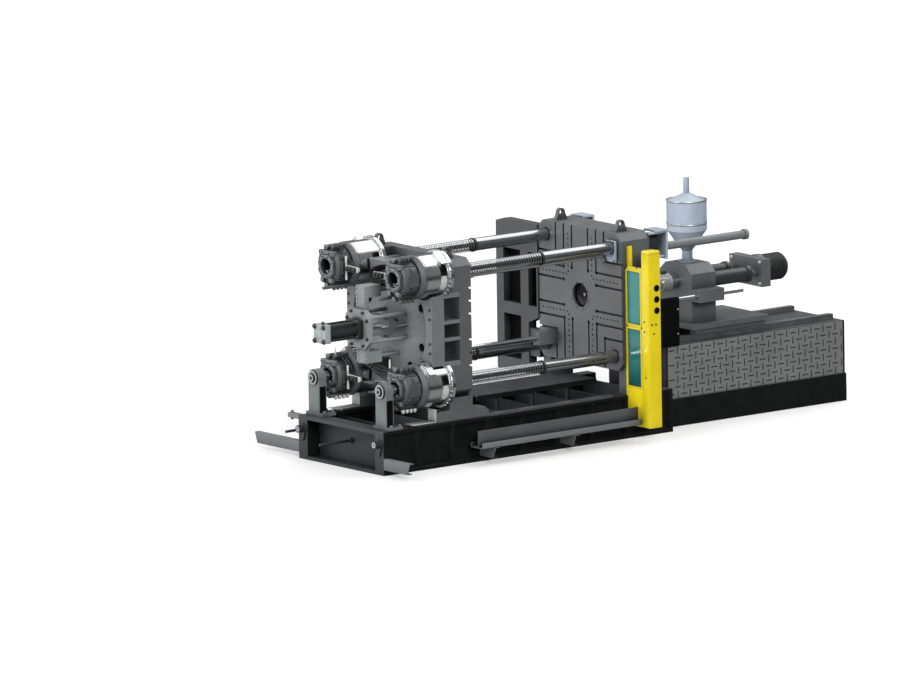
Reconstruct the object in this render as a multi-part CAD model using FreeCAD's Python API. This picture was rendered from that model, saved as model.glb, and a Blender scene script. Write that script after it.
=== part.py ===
import FreeCAD, Part

import math
import os

# Injection moulding machine with two platens and a hydraulic clamp, in millimetres.
# X runs along the machine: the moving platen lies at minus X, the injection unit at plus X.
# X = 0 is the mould face of the fixed platen, Y = 0 the middle plane and Z = 0 the floor.

V = FreeCAD.Vector

# ---------------------------------------------------------------- driving dimensions

AXIS_HEIGHT = 1762.0          # height of the injection axis over the floor
BAR_SPACING_Y = 1400.0        # tie bars, centre to centre across the machine
BAR_SPACING_Z = 1416.0        # tie bars, centre to centre in height
DAYLIGHT = 2460.0             # opening between the platens, fully open
PLATEN_STROKE = 1200.0        # travel of the moving platen, a whole number of groove pitches

PLATEN_WIDTH = 1720.0
PLATEN_HEIGHT = 1780.0
FIXED_PLATEN_THICKNESS = 460.0
PLATEN_CORNER = 90.0
MOULD_PLATE_THICKNESS = 190.0   # front plate of the moving platen
REAR_PLATE_THICKNESS = 200.0
REAR_PLATE_HEIGHT = 1600.0
POCKET_DEPTH = 250.0            # hollow between the two plates

BAR_DIAMETER = 176.0
GROOVE_DEPTH = 10.0
GROOVE_PITCH = 80.0
GROOVED_LENGTH = 1300.0
BAR_RING_X = -1195.0          # collar between the grooves and the plain bar
BAR_RING_WIDTH = 26.0
BAR_RING_DIAMETER = 184.0
JOURNAL_DIAMETER = 140.0      # thin rear end of the lower tie bars
UPPER_BAR_REAR_X = -3190.0
BAR_NUT_DIAMETER = 260.0
BAR_NUT_THICKNESS = 190.0
BAR_STUB_LENGTH = 40.0

DRUM_DIAMETER = 570.0
DRUM_LENGTH = 420.0
DRUM_WALL = 50.0
DRUM_FLANGE_DIAMETER = 628.0
DRUM_FLANGE_THICKNESS = 48.0
DRUM_SETBACK = 365.0          # drum's front face behind the mould face of the moving platen
COVER_THICKNESS = 64.0
COVER_CHAMFER = 40.0
PISTON_STROKE = 80.0          # one groove pitch, so that the closed half nuts stay in step
PISTON_THICKNESS = 90.0
DRUM_FLOOR = 110.0            # solid front end of a clamp cylinder
DRUM_CLEARANCE = 30.0         # round the clamp cylinders, in the ribs and the rear plate
PISTON_TUBE_DIAMETER = 360.0
UNIT_BORE_DIAMETER = 194.0
UNIT_BODY_DIAMETER = 450.0
UNIT_LENGTH = 236.0
UNIT_FLANGE_WIDTH = 320.0
UNIT_FLANGE_THICKNESS = 24.0
NUT_LENGTH = 160.0
NUT_WIDTH = 216.0
NUT_HEIGHT = 108.0
NUT_OPENING = 30.0            # radial travel of each half nut

BASE_FRONT_LENGTH = 790.0
BASE_WIDTH = 1772.0           # over both beams, and over the moving platen
BASE_HEIGHT = 563.0
BEAM_WIDTH = 180.0
BEAM_FLANGE = 45.0
BEAM_WEB = 30.0
RIB_PITCH = 570.0
RIB_THICKNESS = 25.0
END_RECESS = 195.0
WAY_THICKNESS = 20.0
WAY_WIDTH = 110.0

PEDESTAL_GAP = 17.7           # between a locking unit at full stroke and the boss
PEDESTAL_INSET = 110.0        # from the end of the base
PEDESTAL_THICKNESS = 120.0
PEDESTAL_RADIUS = 110.0
PEDESTAL_FOOT = 40.0
PEDESTAL_FOOT_LENGTH = 100.0  # in front of the upright
PEDESTAL_FOOT_MARGIN = 16.0   # from the side of the base
PEDESTAL_FOOT_INNER = 170.0   # from the bar towards the middle
PEDESTAL_GUSSET = 120.0
PEDESTAL_BOSS_RADIUS = 92.0
PEDESTAL_BOSS = 12.0

EJECTOR_STROKE = 200.0
EJECTOR_REAR_X = -4229.0
YOKE_X = -3618.0
YOKE_WIDTH = 490.0
YOKE_HEIGHT = 500.0
YOKE_CORNER = 90.0
YOKE_THICKNESS = 60.0
BRIDGE_HEIGHT = 1000.0        # tall beam behind the yoke
BRIDGE_WIDTH = 190.0
BRIDGE_THICKNESS = 58.0
BRIDGE_RISE = 45.0            # middle of the bridge over the injection axis
BRIDGE_BLOCK_HEIGHT = 150.0
BRIDGE_BLOCK_LENGTH = 198.0
BRIDGE_ROD_DIAMETER = 44.0

TRAVERSE_Y = 560.0
TRAVERSE_Z = 598.0
TRAVERSE_ROD_DIAMETER = 64.0
TRAVERSE_BARREL_DIAMETER = 110.0
TRAVERSE_HEAD = 14.0          # the heads stand out from the barrel by this much

SLOT_PITCH = 167.0            # mould clamping slots, spacing from the middle
SLOT_WIDTH = 28.0
SLOT_HEAD = 46.0
SLOT_DEPTH = 22.0
SLOT_HEAD_DEPTH = 18.0
LOCATING_DIAMETER = 315.0
INSERT_DIAMETER = 600.0       # replaceable middle of the fixed mould face
TAPPED_HOLE_DIAMETER = 30.0
TAPPED_HOLE_DEPTH = 60.0
TAPPED_HOLE_Y = 245.0
TAPPED_HOLE_Z = 490.0

GUARD_X = 60.0
GUARD_SHEET = 30.0
GUARD_COLUMN_Y = 1198.0
GUARD_COLUMN_SIZE = 147.0
GUARD_COLUMN_DEPTH = 190.0
GUARD_BOTTOM = 185.0
GUARD_TOP = 2250.0
GUARD_COLUMN_TOP = 2490.0
FAR_FRAME_Y = (1063.0, 1724.0)
FAR_FRAME_Z = (600.0, 2575.0)
FAR_FRAME_DEPTH = 130.0
FAR_FRAME_BACK = 20.0         # sheet behind the recesses of the far guard
FAR_TOP_DROP = 45.0
FAR_TOP_CORNER = 155.0
FAR_GUARD_LEAD = 20.0         # in front of the mould face of the fixed platen
FAR_WING_BOTTOM = (1355.0, 1270.0)   # under the guard's near part, at the platen and at the guard
FAR_ARM_Z = (835.0, 1195.0)
FAR_RECESSES = (
    ((1219.0, 1574.0), (1493.0, 2196.0)),
    ((1219.0, 1574.0), (765.0, 1337.0)),
    ((885.0, 1055.0), (1493.0, 2196.0)),
)

INJECTION_BASE_X = (880.0, 3860.0)
INJECTION_BASE_WIDTH = 1260.0
PLINTH_HEIGHT = 360.0
TRAVERSE_BASE_CLEARANCE = 45.0   # between the injection base and the lower traverse cylinder
CARRIAGE_STROKE = 450.0
SCREW_STROKE = 380.0
SCREW_DIAMETER = 100.0
BARREL_DIAMETER = 190.0
NOZZLE_TIP_X = 70.0
BARREL_FRONT_X = 290.0
HOUSING_X = (1560.0, 1960.0)
DRIVE_PLATE_X = (2720.0, 2860.0)
HOPPER_X = 1760.0

RUNNING_GAP = 0.3             # between pieces that slide past each other
BUSH_GAP = 0.1                # radial, shaft in its bushing

# ---------------------------------------------------------------- places worked out

MOVING_FACE_X = -DAYLIGHT
MOVING_REAR_X = MOVING_FACE_X - MOULD_PLATE_THICKNESS - POCKET_DEPTH - REAR_PLATE_THICKNESS
DRUM_FRONT_X = MOVING_FACE_X - DRUM_SETBACK
DRUM_REAR_X = DRUM_FRONT_X - DRUM_LENGTH
COVER_REAR_X = DRUM_REAR_X - COVER_THICKNESS
UNIT_FRONT_X = COVER_REAR_X - RUNNING_GAP
UNIT_REAR_X = UNIT_FRONT_X - UNIT_LENGTH
UNIT_STROKE_REAR_X = UNIT_REAR_X - UNIT_FLANGE_THICKNESS - PISTON_STROKE
PEDESTAL_FRONT_X = UNIT_STROKE_REAR_X - PEDESTAL_GAP - PEDESTAL_BOSS
PEDESTAL_X = (PEDESTAL_FRONT_X - PEDESTAL_THICKNESS, PEDESTAL_FRONT_X)
BASE_REAR_X = PEDESTAL_X[0] - PEDESTAL_INSET
BEAM_Y = (BASE_WIDTH - BEAM_WIDTH) / 2
BAR_R = BAR_DIAMETER / 2
ROOT_R = BAR_R - GROOVE_DEPTH
BAR_Y = BAR_SPACING_Y / 2
LOWER_Z = AXIS_HEIGHT - BAR_SPACING_Z / 2
UPPER_Z = AXIS_HEIGHT + BAR_SPACING_Z / 2
PLATEN_BOTTOM = AXIS_HEIGHT - PLATEN_HEIGHT / 2
PLATEN_TOP = AXIS_HEIGHT + PLATEN_HEIGHT / 2
WAY_TOP = BASE_HEIGHT + WAY_THICKNESS
TRAVERSE_OUTER_R = TRAVERSE_BARREL_DIAMETER / 2 + TRAVERSE_HEAD
INJECTION_BASE_HEIGHT = AXIS_HEIGHT - TRAVERSE_Z - TRAVERSE_OUTER_R - TRAVERSE_BASE_CLEARANCE
CORNERS = {
    "upper_near": (-BAR_Y, UPPER_Z),
    "upper_far": (BAR_Y, UPPER_Z),
    "lower_near": (-BAR_Y, LOWER_Z),
    "lower_far": (BAR_Y, LOWER_Z),
}

# ---------------------------------------------------------------- shaping helpers


def box(x, y, z):
    """A block between two values along each axis."""
    size = [abs(pair[1] - pair[0]) for pair in (x, y, z)]
    return Part.makeBox(*size, V(min(x), min(y), min(z)))


def rod(x, y, z, radius):
    """A round bar along X."""
    return Part.makeCylinder(radius, abs(x[1] - x[0]), V(min(x), y, z), V(1, 0, 0))


def crossbar(x, y, z, radius):
    """A round bar along Y."""
    return Part.makeCylinder(radius, abs(y[1] - y[0]), V(x, min(y), z), V(0, 1, 0))


def turned(outline, y=0.0, z=0.0):
    """A turned piece about an axis along X, from (x, radius) points."""
    wire = Part.makePolygon([V(x, 0, r) for x, r in outline] + [V(outline[0][0], 0, outline[0][1])])
    solid = Part.Face(wire).revolve(V(0, 0, 0), V(1, 0, 0), 360)
    solid.translate(V(0, y, z))
    return solid


def plate_x(points, x):
    """A plate square to X, from (y, z) points."""
    wire = Part.makePolygon([V(min(x), y, z) for y, z in points + points[:1]])
    return Part.Face(wire).extrude(V(abs(x[1] - x[0]), 0, 0))


def plate_y(points, y):
    """A plate square to Y, from (x, z) points."""
    wire = Part.makePolygon([V(px, min(y), pz) for px, pz in points + points[:1]])
    return Part.Face(wire).extrude(V(0, abs(y[1] - y[0]), 0))


def union(pieces):
    """One solid from pieces that meet."""
    pieces = list(pieces)
    if len(pieces) == 1:
        return pieces[0]
    return pieces[0].multiFuse(pieces[1:]).removeSplitter()


def without(body, tools):
    """A body with the tools taken out."""
    return body.cut(list(tools)).removeSplitter()


def mirrored_y(shape):
    """The same piece on the other side of the middle plane."""
    return shape.mirror(V(0, 0, 0), V(0, 1, 0))


def save(node, shapes):
    """Write one node: one solid or a group of separate solids."""
    if not isinstance(shapes, (list, tuple)):
        shapes = [shapes]
    solids = [solid for shape in shapes for solid in shape.Solids]
    whole = solids[0] if len(solids) == 1 else Part.makeCompound(solids)
    whole.exportStep(os.path.join("parts", node + ".step"))


# ---------------------------------------------------------------- machine base


def rib_stations():
    """X of each stiffening rib, from the clamp end."""
    count = int((BASE_FRONT_LENGTH - BASE_REAR_X - 2 * BEAM_FLANGE) // RIB_PITCH)
    return [BASE_REAR_X + RIB_PITCH * (i + 1) for i in range(count)]


def base_beam(side):
    """Welded I-beam with a closed end and ribs on both sides of its web."""
    y = side * BEAM_Y
    span = (BASE_REAR_X, BASE_FRONT_LENGTH)
    half = BEAM_WIDTH / 2
    wide = (y - half, y + half)
    pieces = [
        box(span, wide, (0, BEAM_FLANGE)),
        box(span, wide, (BASE_HEIGHT - BEAM_FLANGE, BASE_HEIGHT)),
        box(span, (y - BEAM_WEB / 2, y + BEAM_WEB / 2), (0, BASE_HEIGHT)),
        box((BASE_REAR_X, BASE_REAR_X + BEAM_WEB), wide, (0, BASE_HEIGHT)),
        box((BASE_FRONT_LENGTH - BEAM_WEB, BASE_FRONT_LENGTH), wide, (0, BASE_HEIGHT)),
    ]
    for x in rib_stations():
        pieces.append(box((x - RIB_THICKNESS / 2, x + RIB_THICKNESS / 2), wide, (0, BASE_HEIGHT)))
    return union(pieces)


def end_channel():
    """Recessed cross channel that closes the clamp end of the base."""
    inner = BEAM_Y - BEAM_WIDTH / 2
    across = (-inner, inner)
    panel_x = BASE_REAR_X + END_RECESS
    return union([
        box((panel_x, panel_x + BEAM_WEB), across, (0, BASE_HEIGHT)),
        box((BASE_REAR_X, panel_x), across, (0, BEAM_FLANGE)),
        box((BASE_REAR_X, panel_x), across, (BASE_HEIGHT - BEAM_FLANGE, BASE_HEIGHT)),
    ])


CROSS_PLATE_HEIGHT = 500.0
FOOT_PLATE_WIDTH = 300.0


def cross_plates():
    """Plates between the beams, and the foot under the fixed platen."""
    inner = BEAM_Y - BEAM_WIDTH / 2
    plates = []
    for x in rib_stations():
        if abs(x) > FOOT_PLATE_WIDTH:
            thick = (x - RIB_THICKNESS / 2, x + RIB_THICKNESS / 2)
            plates.append(box(thick, (-inner, inner), (0, CROSS_PLATE_HEIGHT)))
    half = FOOT_PLATE_WIDTH / 2
    plates.append(union([
        box((-half, half), (-inner, inner), (0, BEAM_FLANGE)),
        box((-BEAM_WEB / 2, BEAM_WEB / 2), (-inner, inner), (0, CROSS_PLATE_HEIGHT)),
    ]))
    return plates


def way_strips():
    """Hardened strips that the moving platen slides on."""
    span = (COVER_REAR_X, -RIB_PITCH / 4)
    return [
        box(span, (side * BEAM_Y - WAY_WIDTH / 2, side * BEAM_Y + WAY_WIDTH / 2), (BASE_HEIGHT, WAY_TOP))
        for side in (-1, 1)
    ]


DECK_X = (-1970.0, -24.0)
DECK_HALF_WIDTH = 345.0
DECK_TOP = 724.0
DECK_PLATE = 16.0
DECK_SKIRT = 60.0
DECK_LEG_WIDTH = 50.0


def mould_deck():
    """Raised deck plate under the mould space, on posts from the cross plates."""
    half = DECK_HALF_WIDTH
    low = DECK_TOP - DECK_SKIRT
    pieces = [box(DECK_X, (-half, half), (DECK_TOP - DECK_PLATE, DECK_TOP))]
    for side in (-1, 1):
        pieces.append(box(DECK_X, (side * half, side * (half - DECK_PLATE)), (low, DECK_TOP)))
    for x in rib_stations():
        if DECK_X[0] < x < DECK_X[1]:
            for side in (-1, 1):
                y = side * (half - DECK_LEG_WIDTH / 2)
                pieces.append(box(
                    (x - RIB_THICKNESS / 2, x + RIB_THICKNESS / 2),
                    (y - DECK_LEG_WIDTH / 2, y + DECK_LEG_WIDTH / 2),
                    (CROSS_PLATE_HEIGHT, DECK_TOP)))
    return union(pieces)


OUTRIGGER_HEIGHT = 145.0
OUTRIGGER_DEPTH = 70.0
OUTRIGGER_WALL = 10.0
OUTRIGGER_BOTTOM = 78.0
OUTRIGGER_SLANT = 50.0


def outrigger(x, side, length):
    """Channel that stands out sideways from a base beam, with a slanted end."""
    root = BASE_WIDTH / 2
    low = OUTRIGGER_BOTTOM
    high = low + OUTRIGGER_HEIGHT
    outer = plate_x([
        (root, low), (root + length - OUTRIGGER_SLANT, low), (root + length, high), (root, high),
    ], (x, x + OUTRIGGER_DEPTH))
    hollow = box(
        (x + OUTRIGGER_WALL, x + OUTRIGGER_DEPTH + 1), (root - 1, root + length + 1),
        (low + OUTRIGGER_WALL, high - OUTRIGGER_WALL))
    channel = without(outer, [hollow])
    return channel if side > 0 else mirrored_y(channel)


STEP_LENGTH = 80.0
STEP_REACH = 224.0
STEP_HEIGHT = 58.0
STEP_PIN_DIAMETER = 40.0


def corner_step():
    """Small carrying step with an upright pin, outside the far beam at the clamp end."""
    x = (BASE_REAR_X, BASE_REAR_X + STEP_LENGTH)
    root = BASE_WIDTH / 2
    pin_y = root + STEP_REACH - STEP_PIN_DIAMETER
    pin_foot = V(x[0] + STEP_LENGTH / 2, pin_y, BASE_HEIGHT - 1.5 * STEP_HEIGHT)
    pin = Part.makeCylinder(STEP_PIN_DIAMETER / 2, 2 * STEP_HEIGHT, pin_foot)
    return union([box(x, (root, root + STEP_REACH), (BASE_HEIGHT - STEP_HEIGHT, BASE_HEIGHT)), pin])


GUTTER_X = (-2560.0, 40.0)
GUTTER_TOP = 445.0
GUTTER_BOTTOM = OUTRIGGER_BOTTOM + OUTRIGGER_HEIGHT
GUTTER_INNER_Y = 960.0
GUTTER_OUTER_Y = 1110.0
GUTTER_LEDGE = 90.0
GUTTER_WALL = 8.0
OUTRIGGERS = (
    (BASE_REAR_X, 1, 930.0),
    (BASE_REAR_X, -1, 540.0),
    (-2360.0, -1, 330.0),
    (-1060.0, -1, 330.0),
)


def side_gutter():
    """Folded tray along the near side, standing on the outriggers."""
    inner, outer = -GUTTER_INNER_Y, -GUTTER_OUTER_Y
    ledge = outer - GUTTER_LEDGE
    wall = GUTTER_WALL
    low = GUTTER_BOTTOM
    return plate_x([
        (inner, low), (inner, low + 60), (inner - wall, low + 60), (inner - wall, low + wall),
        (outer, low + wall), (outer, GUTTER_TOP), (outer - wall, GUTTER_TOP), (outer - wall, low + wall),
        (ledge, low + wall), (ledge, low),
    ], GUTTER_X)


TRUNNION_Z = 398.0
TRUNNION_DIAMETER = 96.0
TRUNNION_LENGTH = 90.0
TRUNNION_PLATE = 18.0


def lifting_trunnion(side):
    """Round lifting stub on a drop-shaped plate, at the end of a base beam."""
    y = side * BEAM_Y
    ring_r = TRUNNION_DIAMETER * 0.7
    drop = plate_x([
        (y - ring_r, TRUNNION_Z), (y - ring_r * 0.3, TRUNNION_Z - 2.2 * ring_r),
        (y + ring_r * 0.3, TRUNNION_Z - 2.2 * ring_r), (y + ring_r, TRUNNION_Z),
    ], (BASE_REAR_X - TRUNNION_PLATE, BASE_REAR_X))
    return union([
        drop,
        rod((BASE_REAR_X - TRUNNION_PLATE, BASE_REAR_X), y, TRUNNION_Z, ring_r),
        rod((BASE_REAR_X - TRUNNION_LENGTH, BASE_REAR_X), y, TRUNNION_Z, TRUNNION_DIAMETER / 2),
    ])


PIPE_DIAMETER = 36.0
PIPE_LENGTH = 320.0
PIPE_Y = 33.0
PIPE_Z = 318.0
FAR_PIPE_Z = 352.0
FAR_PIPE_OFFSET = 64.0        # outside the far base beam


def drain_pipes():
    """Two short pipes at the clamp end, one through the end panel and one on the far side."""
    panel_x = BASE_REAR_X + END_RECESS
    r = PIPE_DIAMETER / 2
    straight = rod((BASE_REAR_X - PIPE_LENGTH, panel_x), PIPE_Y, PIPE_Z, r)
    collar = rod((panel_x - PIPE_DIAMETER, panel_x), PIPE_Y, PIPE_Z, PIPE_DIAMETER)
    far_y = BASE_WIDTH / 2 + FAR_PIPE_OFFSET
    far = rod((BASE_REAR_X - PIPE_LENGTH / 2, BASE_REAR_X + 2 * PIPE_DIAMETER), far_y, FAR_PIPE_Z, r)
    clip_x = (BASE_REAR_X, BASE_REAR_X + PIPE_DIAMETER)
    clip = box(clip_x, (BASE_WIDTH / 2, far_y), (FAR_PIPE_Z - r, FAR_PIPE_Z + r))
    return [union([straight, collar]), union([far, clip])]


def pedestal(side):
    """Upright that carries the thin rear end of a lower tie bar, with a round head and a boss."""
    y = side * BAR_Y
    foot_x = (PEDESTAL_X[0], PEDESTAL_X[1] + PEDESTAL_FOOT_LENGTH)
    foot_y = (side * (BASE_WIDTH / 2 - PEDESTAL_FOOT_MARGIN), side * (BAR_Y - PEDESTAL_FOOT_INNER))
    foot_top = BASE_HEIGHT + PEDESTAL_FOOT
    body = union([
        box(PEDESTAL_X, (y - PEDESTAL_RADIUS, y + PEDESTAL_RADIUS), (BASE_HEIGHT, LOWER_Z)),
        rod(PEDESTAL_X, y, LOWER_Z, PEDESTAL_RADIUS),
        rod((PEDESTAL_X[1], PEDESTAL_X[1] + PEDESTAL_BOSS), y, LOWER_Z, PEDESTAL_BOSS_RADIUS),
        box(foot_x, foot_y, (BASE_HEIGHT, foot_top)),
        plate_y([
            (PEDESTAL_X[1], foot_top), (foot_x[1], foot_top), (PEDESTAL_X[1], foot_top + PEDESTAL_GUSSET),
        ], (y - RIB_THICKNESS, y + RIB_THICKNESS)),
    ])
    bore_x = (PEDESTAL_X[0] - 1, PEDESTAL_X[1] + PEDESTAL_BOSS + 1)
    return without(body, [rod(bore_x, y, LOWER_Z, JOURNAL_DIAMETER / 2)])


PEDESTAL_CAP_THICKNESS = 22.0
PEDESTAL_HEAD_RADIUS = 50.0


def pedestal_cap(side):
    """Washer and nut head on the rear end of a lower tie bar."""
    y = side * BAR_Y
    rear = PEDESTAL_X[0] - PEDESTAL_CAP_THICKNESS
    return union([
        rod((rear, PEDESTAL_X[0]), y, LOWER_Z, PEDESTAL_BOSS_RADIUS),
        rod((rear - PEDESTAL_CAP_THICKNESS, rear), y, LOWER_Z, PEDESTAL_HEAD_RADIUS),
    ])


# ---------------------------------------------------------------- tie bars


def groove_profile(start, count, grow):
    """Buttress grooves as (x, radius) points, from the rear to the front."""
    points = []
    for i in range(count):
        x = start + i * GROOVE_PITCH
        points.append((x, ROOT_R + grow))
        points.append((x + 0.82 * GROOVE_PITCH, BAR_R + grow))
    points.append((start + count * GROOVE_PITCH, ROOT_R + grow))
    return points


GROOVE_COUNT = int(GROOVED_LENGTH // GROOVE_PITCH)
GROOVE_FRONT_X = BAR_RING_X - BAR_RING_WIDTH / 2
GROOVE_REAR_X = GROOVE_FRONT_X - GROOVE_COUNT * GROOVE_PITCH
BAR_FRONT_X = FIXED_PLATEN_THICKNESS + BAR_NUT_THICKNESS + BAR_STUB_LENGTH


def tie_bar(y, z, lower):
    """Tie bar with buttress grooves behind the ring and a plain front part."""
    if lower:
        step = COVER_REAR_X + COVER_THICKNESS
        rear = [(PEDESTAL_X[0], 0), (PEDESTAL_X[0], JOURNAL_DIAMETER / 2), (step, JOURNAL_DIAMETER / 2),
                (step + (BAR_R - JOURNAL_DIAMETER / 2), BAR_R)]
    else:
        rear = [(UPPER_BAR_REAR_X, 0), (UPPER_BAR_REAR_X, BAR_R - GROOVE_DEPTH),
                (UPPER_BAR_REAR_X + GROOVE_DEPTH, BAR_R)]
    outline = rear + [(GROOVE_REAR_X, BAR_R)] + groove_profile(GROOVE_REAR_X, GROOVE_COUNT, 0.0)
    outline += [(GROOVE_FRONT_X, BAR_R), (BAR_FRONT_X, BAR_R), (BAR_FRONT_X, 0)]
    return turned(outline, y, z)


def bar_ring(y, z):
    """Dark collar on a tie bar, at the end of its grooves."""
    x = (GROOVE_FRONT_X, GROOVE_FRONT_X + BAR_RING_WIDTH)
    return without(rod(x, y, z, BAR_RING_DIAMETER / 2), [rod((x[0] - 1, x[1] + 1), y, z, BAR_R)])


def bar_nut(y, z):
    """Round nut behind the fixed platen, with a stepped collar."""
    back = FIXED_PLATEN_THICKNESS
    r = BAR_NUT_DIAMETER / 2
    return turned([
        (back, BAR_R), (back, r * 1.04), (back + 40, r * 1.04), (back + 40, r),
        (back + BAR_NUT_THICKNESS - 12, r), (back + BAR_NUT_THICKNESS, r - 12),
        (back + BAR_NUT_THICKNESS, BAR_R),
    ], y, z)


# ---------------------------------------------------------------- fixed platen


def clamping_slots(x_face, direction, width):
    """T-slots in a mould face, four-fold symmetric. direction points into the platen."""
    slots = []
    long_half_y = width / 2 + 1
    long_half_z = PLATEN_HEIGHT / 2 + 1
    neck = (x_face, x_face + direction * (SLOT_DEPTH + 1))
    head = (x_face + direction * SLOT_DEPTH, x_face + direction * (SLOT_DEPTH + SLOT_HEAD_DEPTH))
    for index, inner in ((1, 2), (2, 2), (3, 3)):
        offset = index * SLOT_PITCH
        start = inner * SLOT_PITCH
        for side in (-1, 1):
            for end in (-1, 1):
                z = AXIS_HEIGHT + end * offset
                y = side * offset
                for x, half in ((neck, SLOT_WIDTH / 2), (head, SLOT_HEAD / 2)):
                    slots.append(box(x, (side * start, side * long_half_y), (z - half, z + half)))
                    slots.append(box(
                        x, (y - half, y + half),
                        (AXIS_HEIGHT + end * start, AXIS_HEIGHT + end * long_half_z)))
    return slots


def tapped_holes(x_face, direction):
    """Four tapped holes for the mould, on a rectangle."""
    x = (x_face, x_face + direction * TAPPED_HOLE_DEPTH)
    return [
        rod(x, sy * TAPPED_HOLE_Y, AXIS_HEIGHT + sz * TAPPED_HOLE_Z, TAPPED_HOLE_DIAMETER / 2)
        for sy in (-1, 1) for sz in (-1, 1)
    ]


FACE_PLATE_THICKNESS = 60.0
LOCATING_DEPTH = 60.0
INSERT_DEPTH = 200.0
NOZZLE_WELL_DIAMETER = 760.0
NOZZLE_WELL_NECK = 330.0
NOZZLE_WELL_NECK_LENGTH = 60.0
PLATEN_FOOT_WIDTH = 150.0
PLATEN_FOOT_SETBACK = 40.0
TRAVERSE_HOLE_GAP = 8.0       # round a traverse rod, in the fixed platen


def chamfered(width, low, high, corner):
    """Outline of a plate with cut corners, as (y, z) points."""
    half = width / 2
    return [
        (-half + corner, low), (half - corner, low), (half, low + corner), (half, high - corner),
        (half - corner, high), (-half + corner, high), (-half, high - corner), (-half, low + corner),
    ]


def fixed_platen_bores(x):
    """Tie bar and traverse rod holes of the fixed platen."""
    tools = [rod(x, y, z, BAR_R) for y, z in CORNERS.values()]
    r = TRAVERSE_ROD_DIAMETER / 2 + TRAVERSE_HOLE_GAP
    for sign in (-1, 1):
        tools.append(rod(x, sign * TRAVERSE_Y, AXIS_HEIGHT - sign * TRAVERSE_Z, r))
    return tools


def nozzle_well():
    """Space of the locating bore and of the conical nozzle well behind it."""
    neck_x = LOCATING_DEPTH + NOZZLE_WELL_NECK_LENGTH
    back = FIXED_PLATEN_THICKNESS + 1
    return turned([
        (-1, 0), (-1, LOCATING_DIAMETER / 2), (LOCATING_DEPTH, LOCATING_DIAMETER / 2),
        (neck_x, NOZZLE_WELL_NECK / 2), (back, NOZZLE_WELL_DIAMETER / 2), (back, 0),
    ], 0, AXIS_HEIGHT)


def fixed_mould_plate():
    """Machined front plate of the fixed platen, with clamping slots, tapped holes and the insert's hole."""
    x = (0.0, FACE_PLATE_THICKNESS)
    slab = plate_x(chamfered(PLATEN_WIDTH, PLATEN_BOTTOM, PLATEN_TOP, PLATEN_CORNER), x)
    through = (x[0] - 1, x[1] + 1)
    tools = [rod(through, 0, AXIS_HEIGHT, INSERT_DIAMETER / 2)] + fixed_platen_bores(through)
    tools += clamping_slots(0.0, 1, PLATEN_WIDTH)
    tools += tapped_holes(0.0, 1)
    return without(slab, tools)


def locating_insert():
    """Round insert in the middle of the fixed platen, with the locating bore and the front of the well."""
    return without(rod((0.0, INSERT_DEPTH), 0, AXIS_HEIGHT, INSERT_DIAMETER / 2), [nozzle_well()])


def fixed_platen():
    """Cast body of the fixed platen with the insert's seat, its nozzle well and feet."""
    x = (FACE_PLATE_THICKNESS, FIXED_PLATEN_THICKNESS)
    slab = plate_x(chamfered(PLATEN_WIDTH, PLATEN_BOTTOM, PLATEN_TOP, PLATEN_CORNER), x)
    foot_x = (x[0], x[1] - PLATEN_FOOT_SETBACK)
    feet = []
    for side in (-1, 1):
        outer = side * PLATEN_WIDTH / 2
        feet.append(box(foot_x, (outer, outer - side * PLATEN_FOOT_WIDTH), (BASE_HEIGHT, LOWER_Z)))
    seat = rod((x[0] - 1, INSERT_DEPTH), 0, AXIS_HEIGHT, INSERT_DIAMETER / 2)
    return without(union([slab] + feet), [seat, nozzle_well()] + fixed_platen_bores((x[0] - 1, x[1] + 1)))


LUG_WIDTH = 180.0
LUG_HEIGHT = 150.0
LUG_THICKNESS = 60.0
LUG_EYE = 70.0
FIXED_LUG_X = 180.0
FIXED_LUG_Y = 620.0
MOVING_LUG_SETBACK = 250.0    # behind the mould face of the moving platen


def lifting_lug(x, y, base_z):
    """Lifting plate with sloping sides, a round top and an eye, square to Y."""
    half = LUG_WIDTH / 2
    top_r = LUG_WIDTH * 0.3
    top_z = base_z + LUG_HEIGHT - top_r
    body = union([
        plate_y([(x - half, base_z), (x + half, base_z), (x + top_r, top_z), (x - top_r, top_z)],
                (y - LUG_THICKNESS / 2, y + LUG_THICKNESS / 2)),
        crossbar(x, (y - LUG_THICKNESS / 2, y + LUG_THICKNESS / 2), top_z, top_r),
    ])
    return without(body, [crossbar(x, (y - LUG_THICKNESS, y + LUG_THICKNESS), top_z, LUG_EYE / 2)])


PULLER_X = BAR_FRONT_X + 24.0
PULLER_THICKNESS = 30.0
PULLER_OUTER = 190.0          # from the bar's middle towards the outside
PULLER_INNER = 70.0
PULLER_RISE = 176.0
PULLER_DROP = 210.0
PULLER_HOOD = 24.0
PULLER_STUD_DIAMETER = 40.0


def bar_puller(side):
    """Hooded plate on two studs behind an upper tie bar's nut, used to draw the bar out."""
    outer = side * (BAR_Y + PULLER_OUTER)
    inner = side * (BAR_Y - PULLER_INNER)
    low = UPPER_Z - PULLER_DROP
    high = UPPER_Z + PULLER_RISE
    plate = box((PULLER_X, PULLER_X + PULLER_THICKNESS), (outer, inner), (low, high))
    hood_x = (FIXED_PLATEN_THICKNESS + BAR_NUT_THICKNESS / 2, PULLER_X)
    hood = box(hood_x, (outer, inner), (high - PULLER_HOOD, high))
    stud_y = outer - side * PULLER_STUD_DIAMETER
    studs = [
        rod((FIXED_PLATEN_THICKNESS, PULLER_X), stud_y, z, PULLER_STUD_DIAMETER / 2)
        for z in (low + PULLER_STUD_DIAMETER, PLATEN_TOP - PULLER_STUD_DIAMETER)
    ]
    return union([plate, hood] + studs)


# ---------------------------------------------------------------- traverse cylinders

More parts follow.
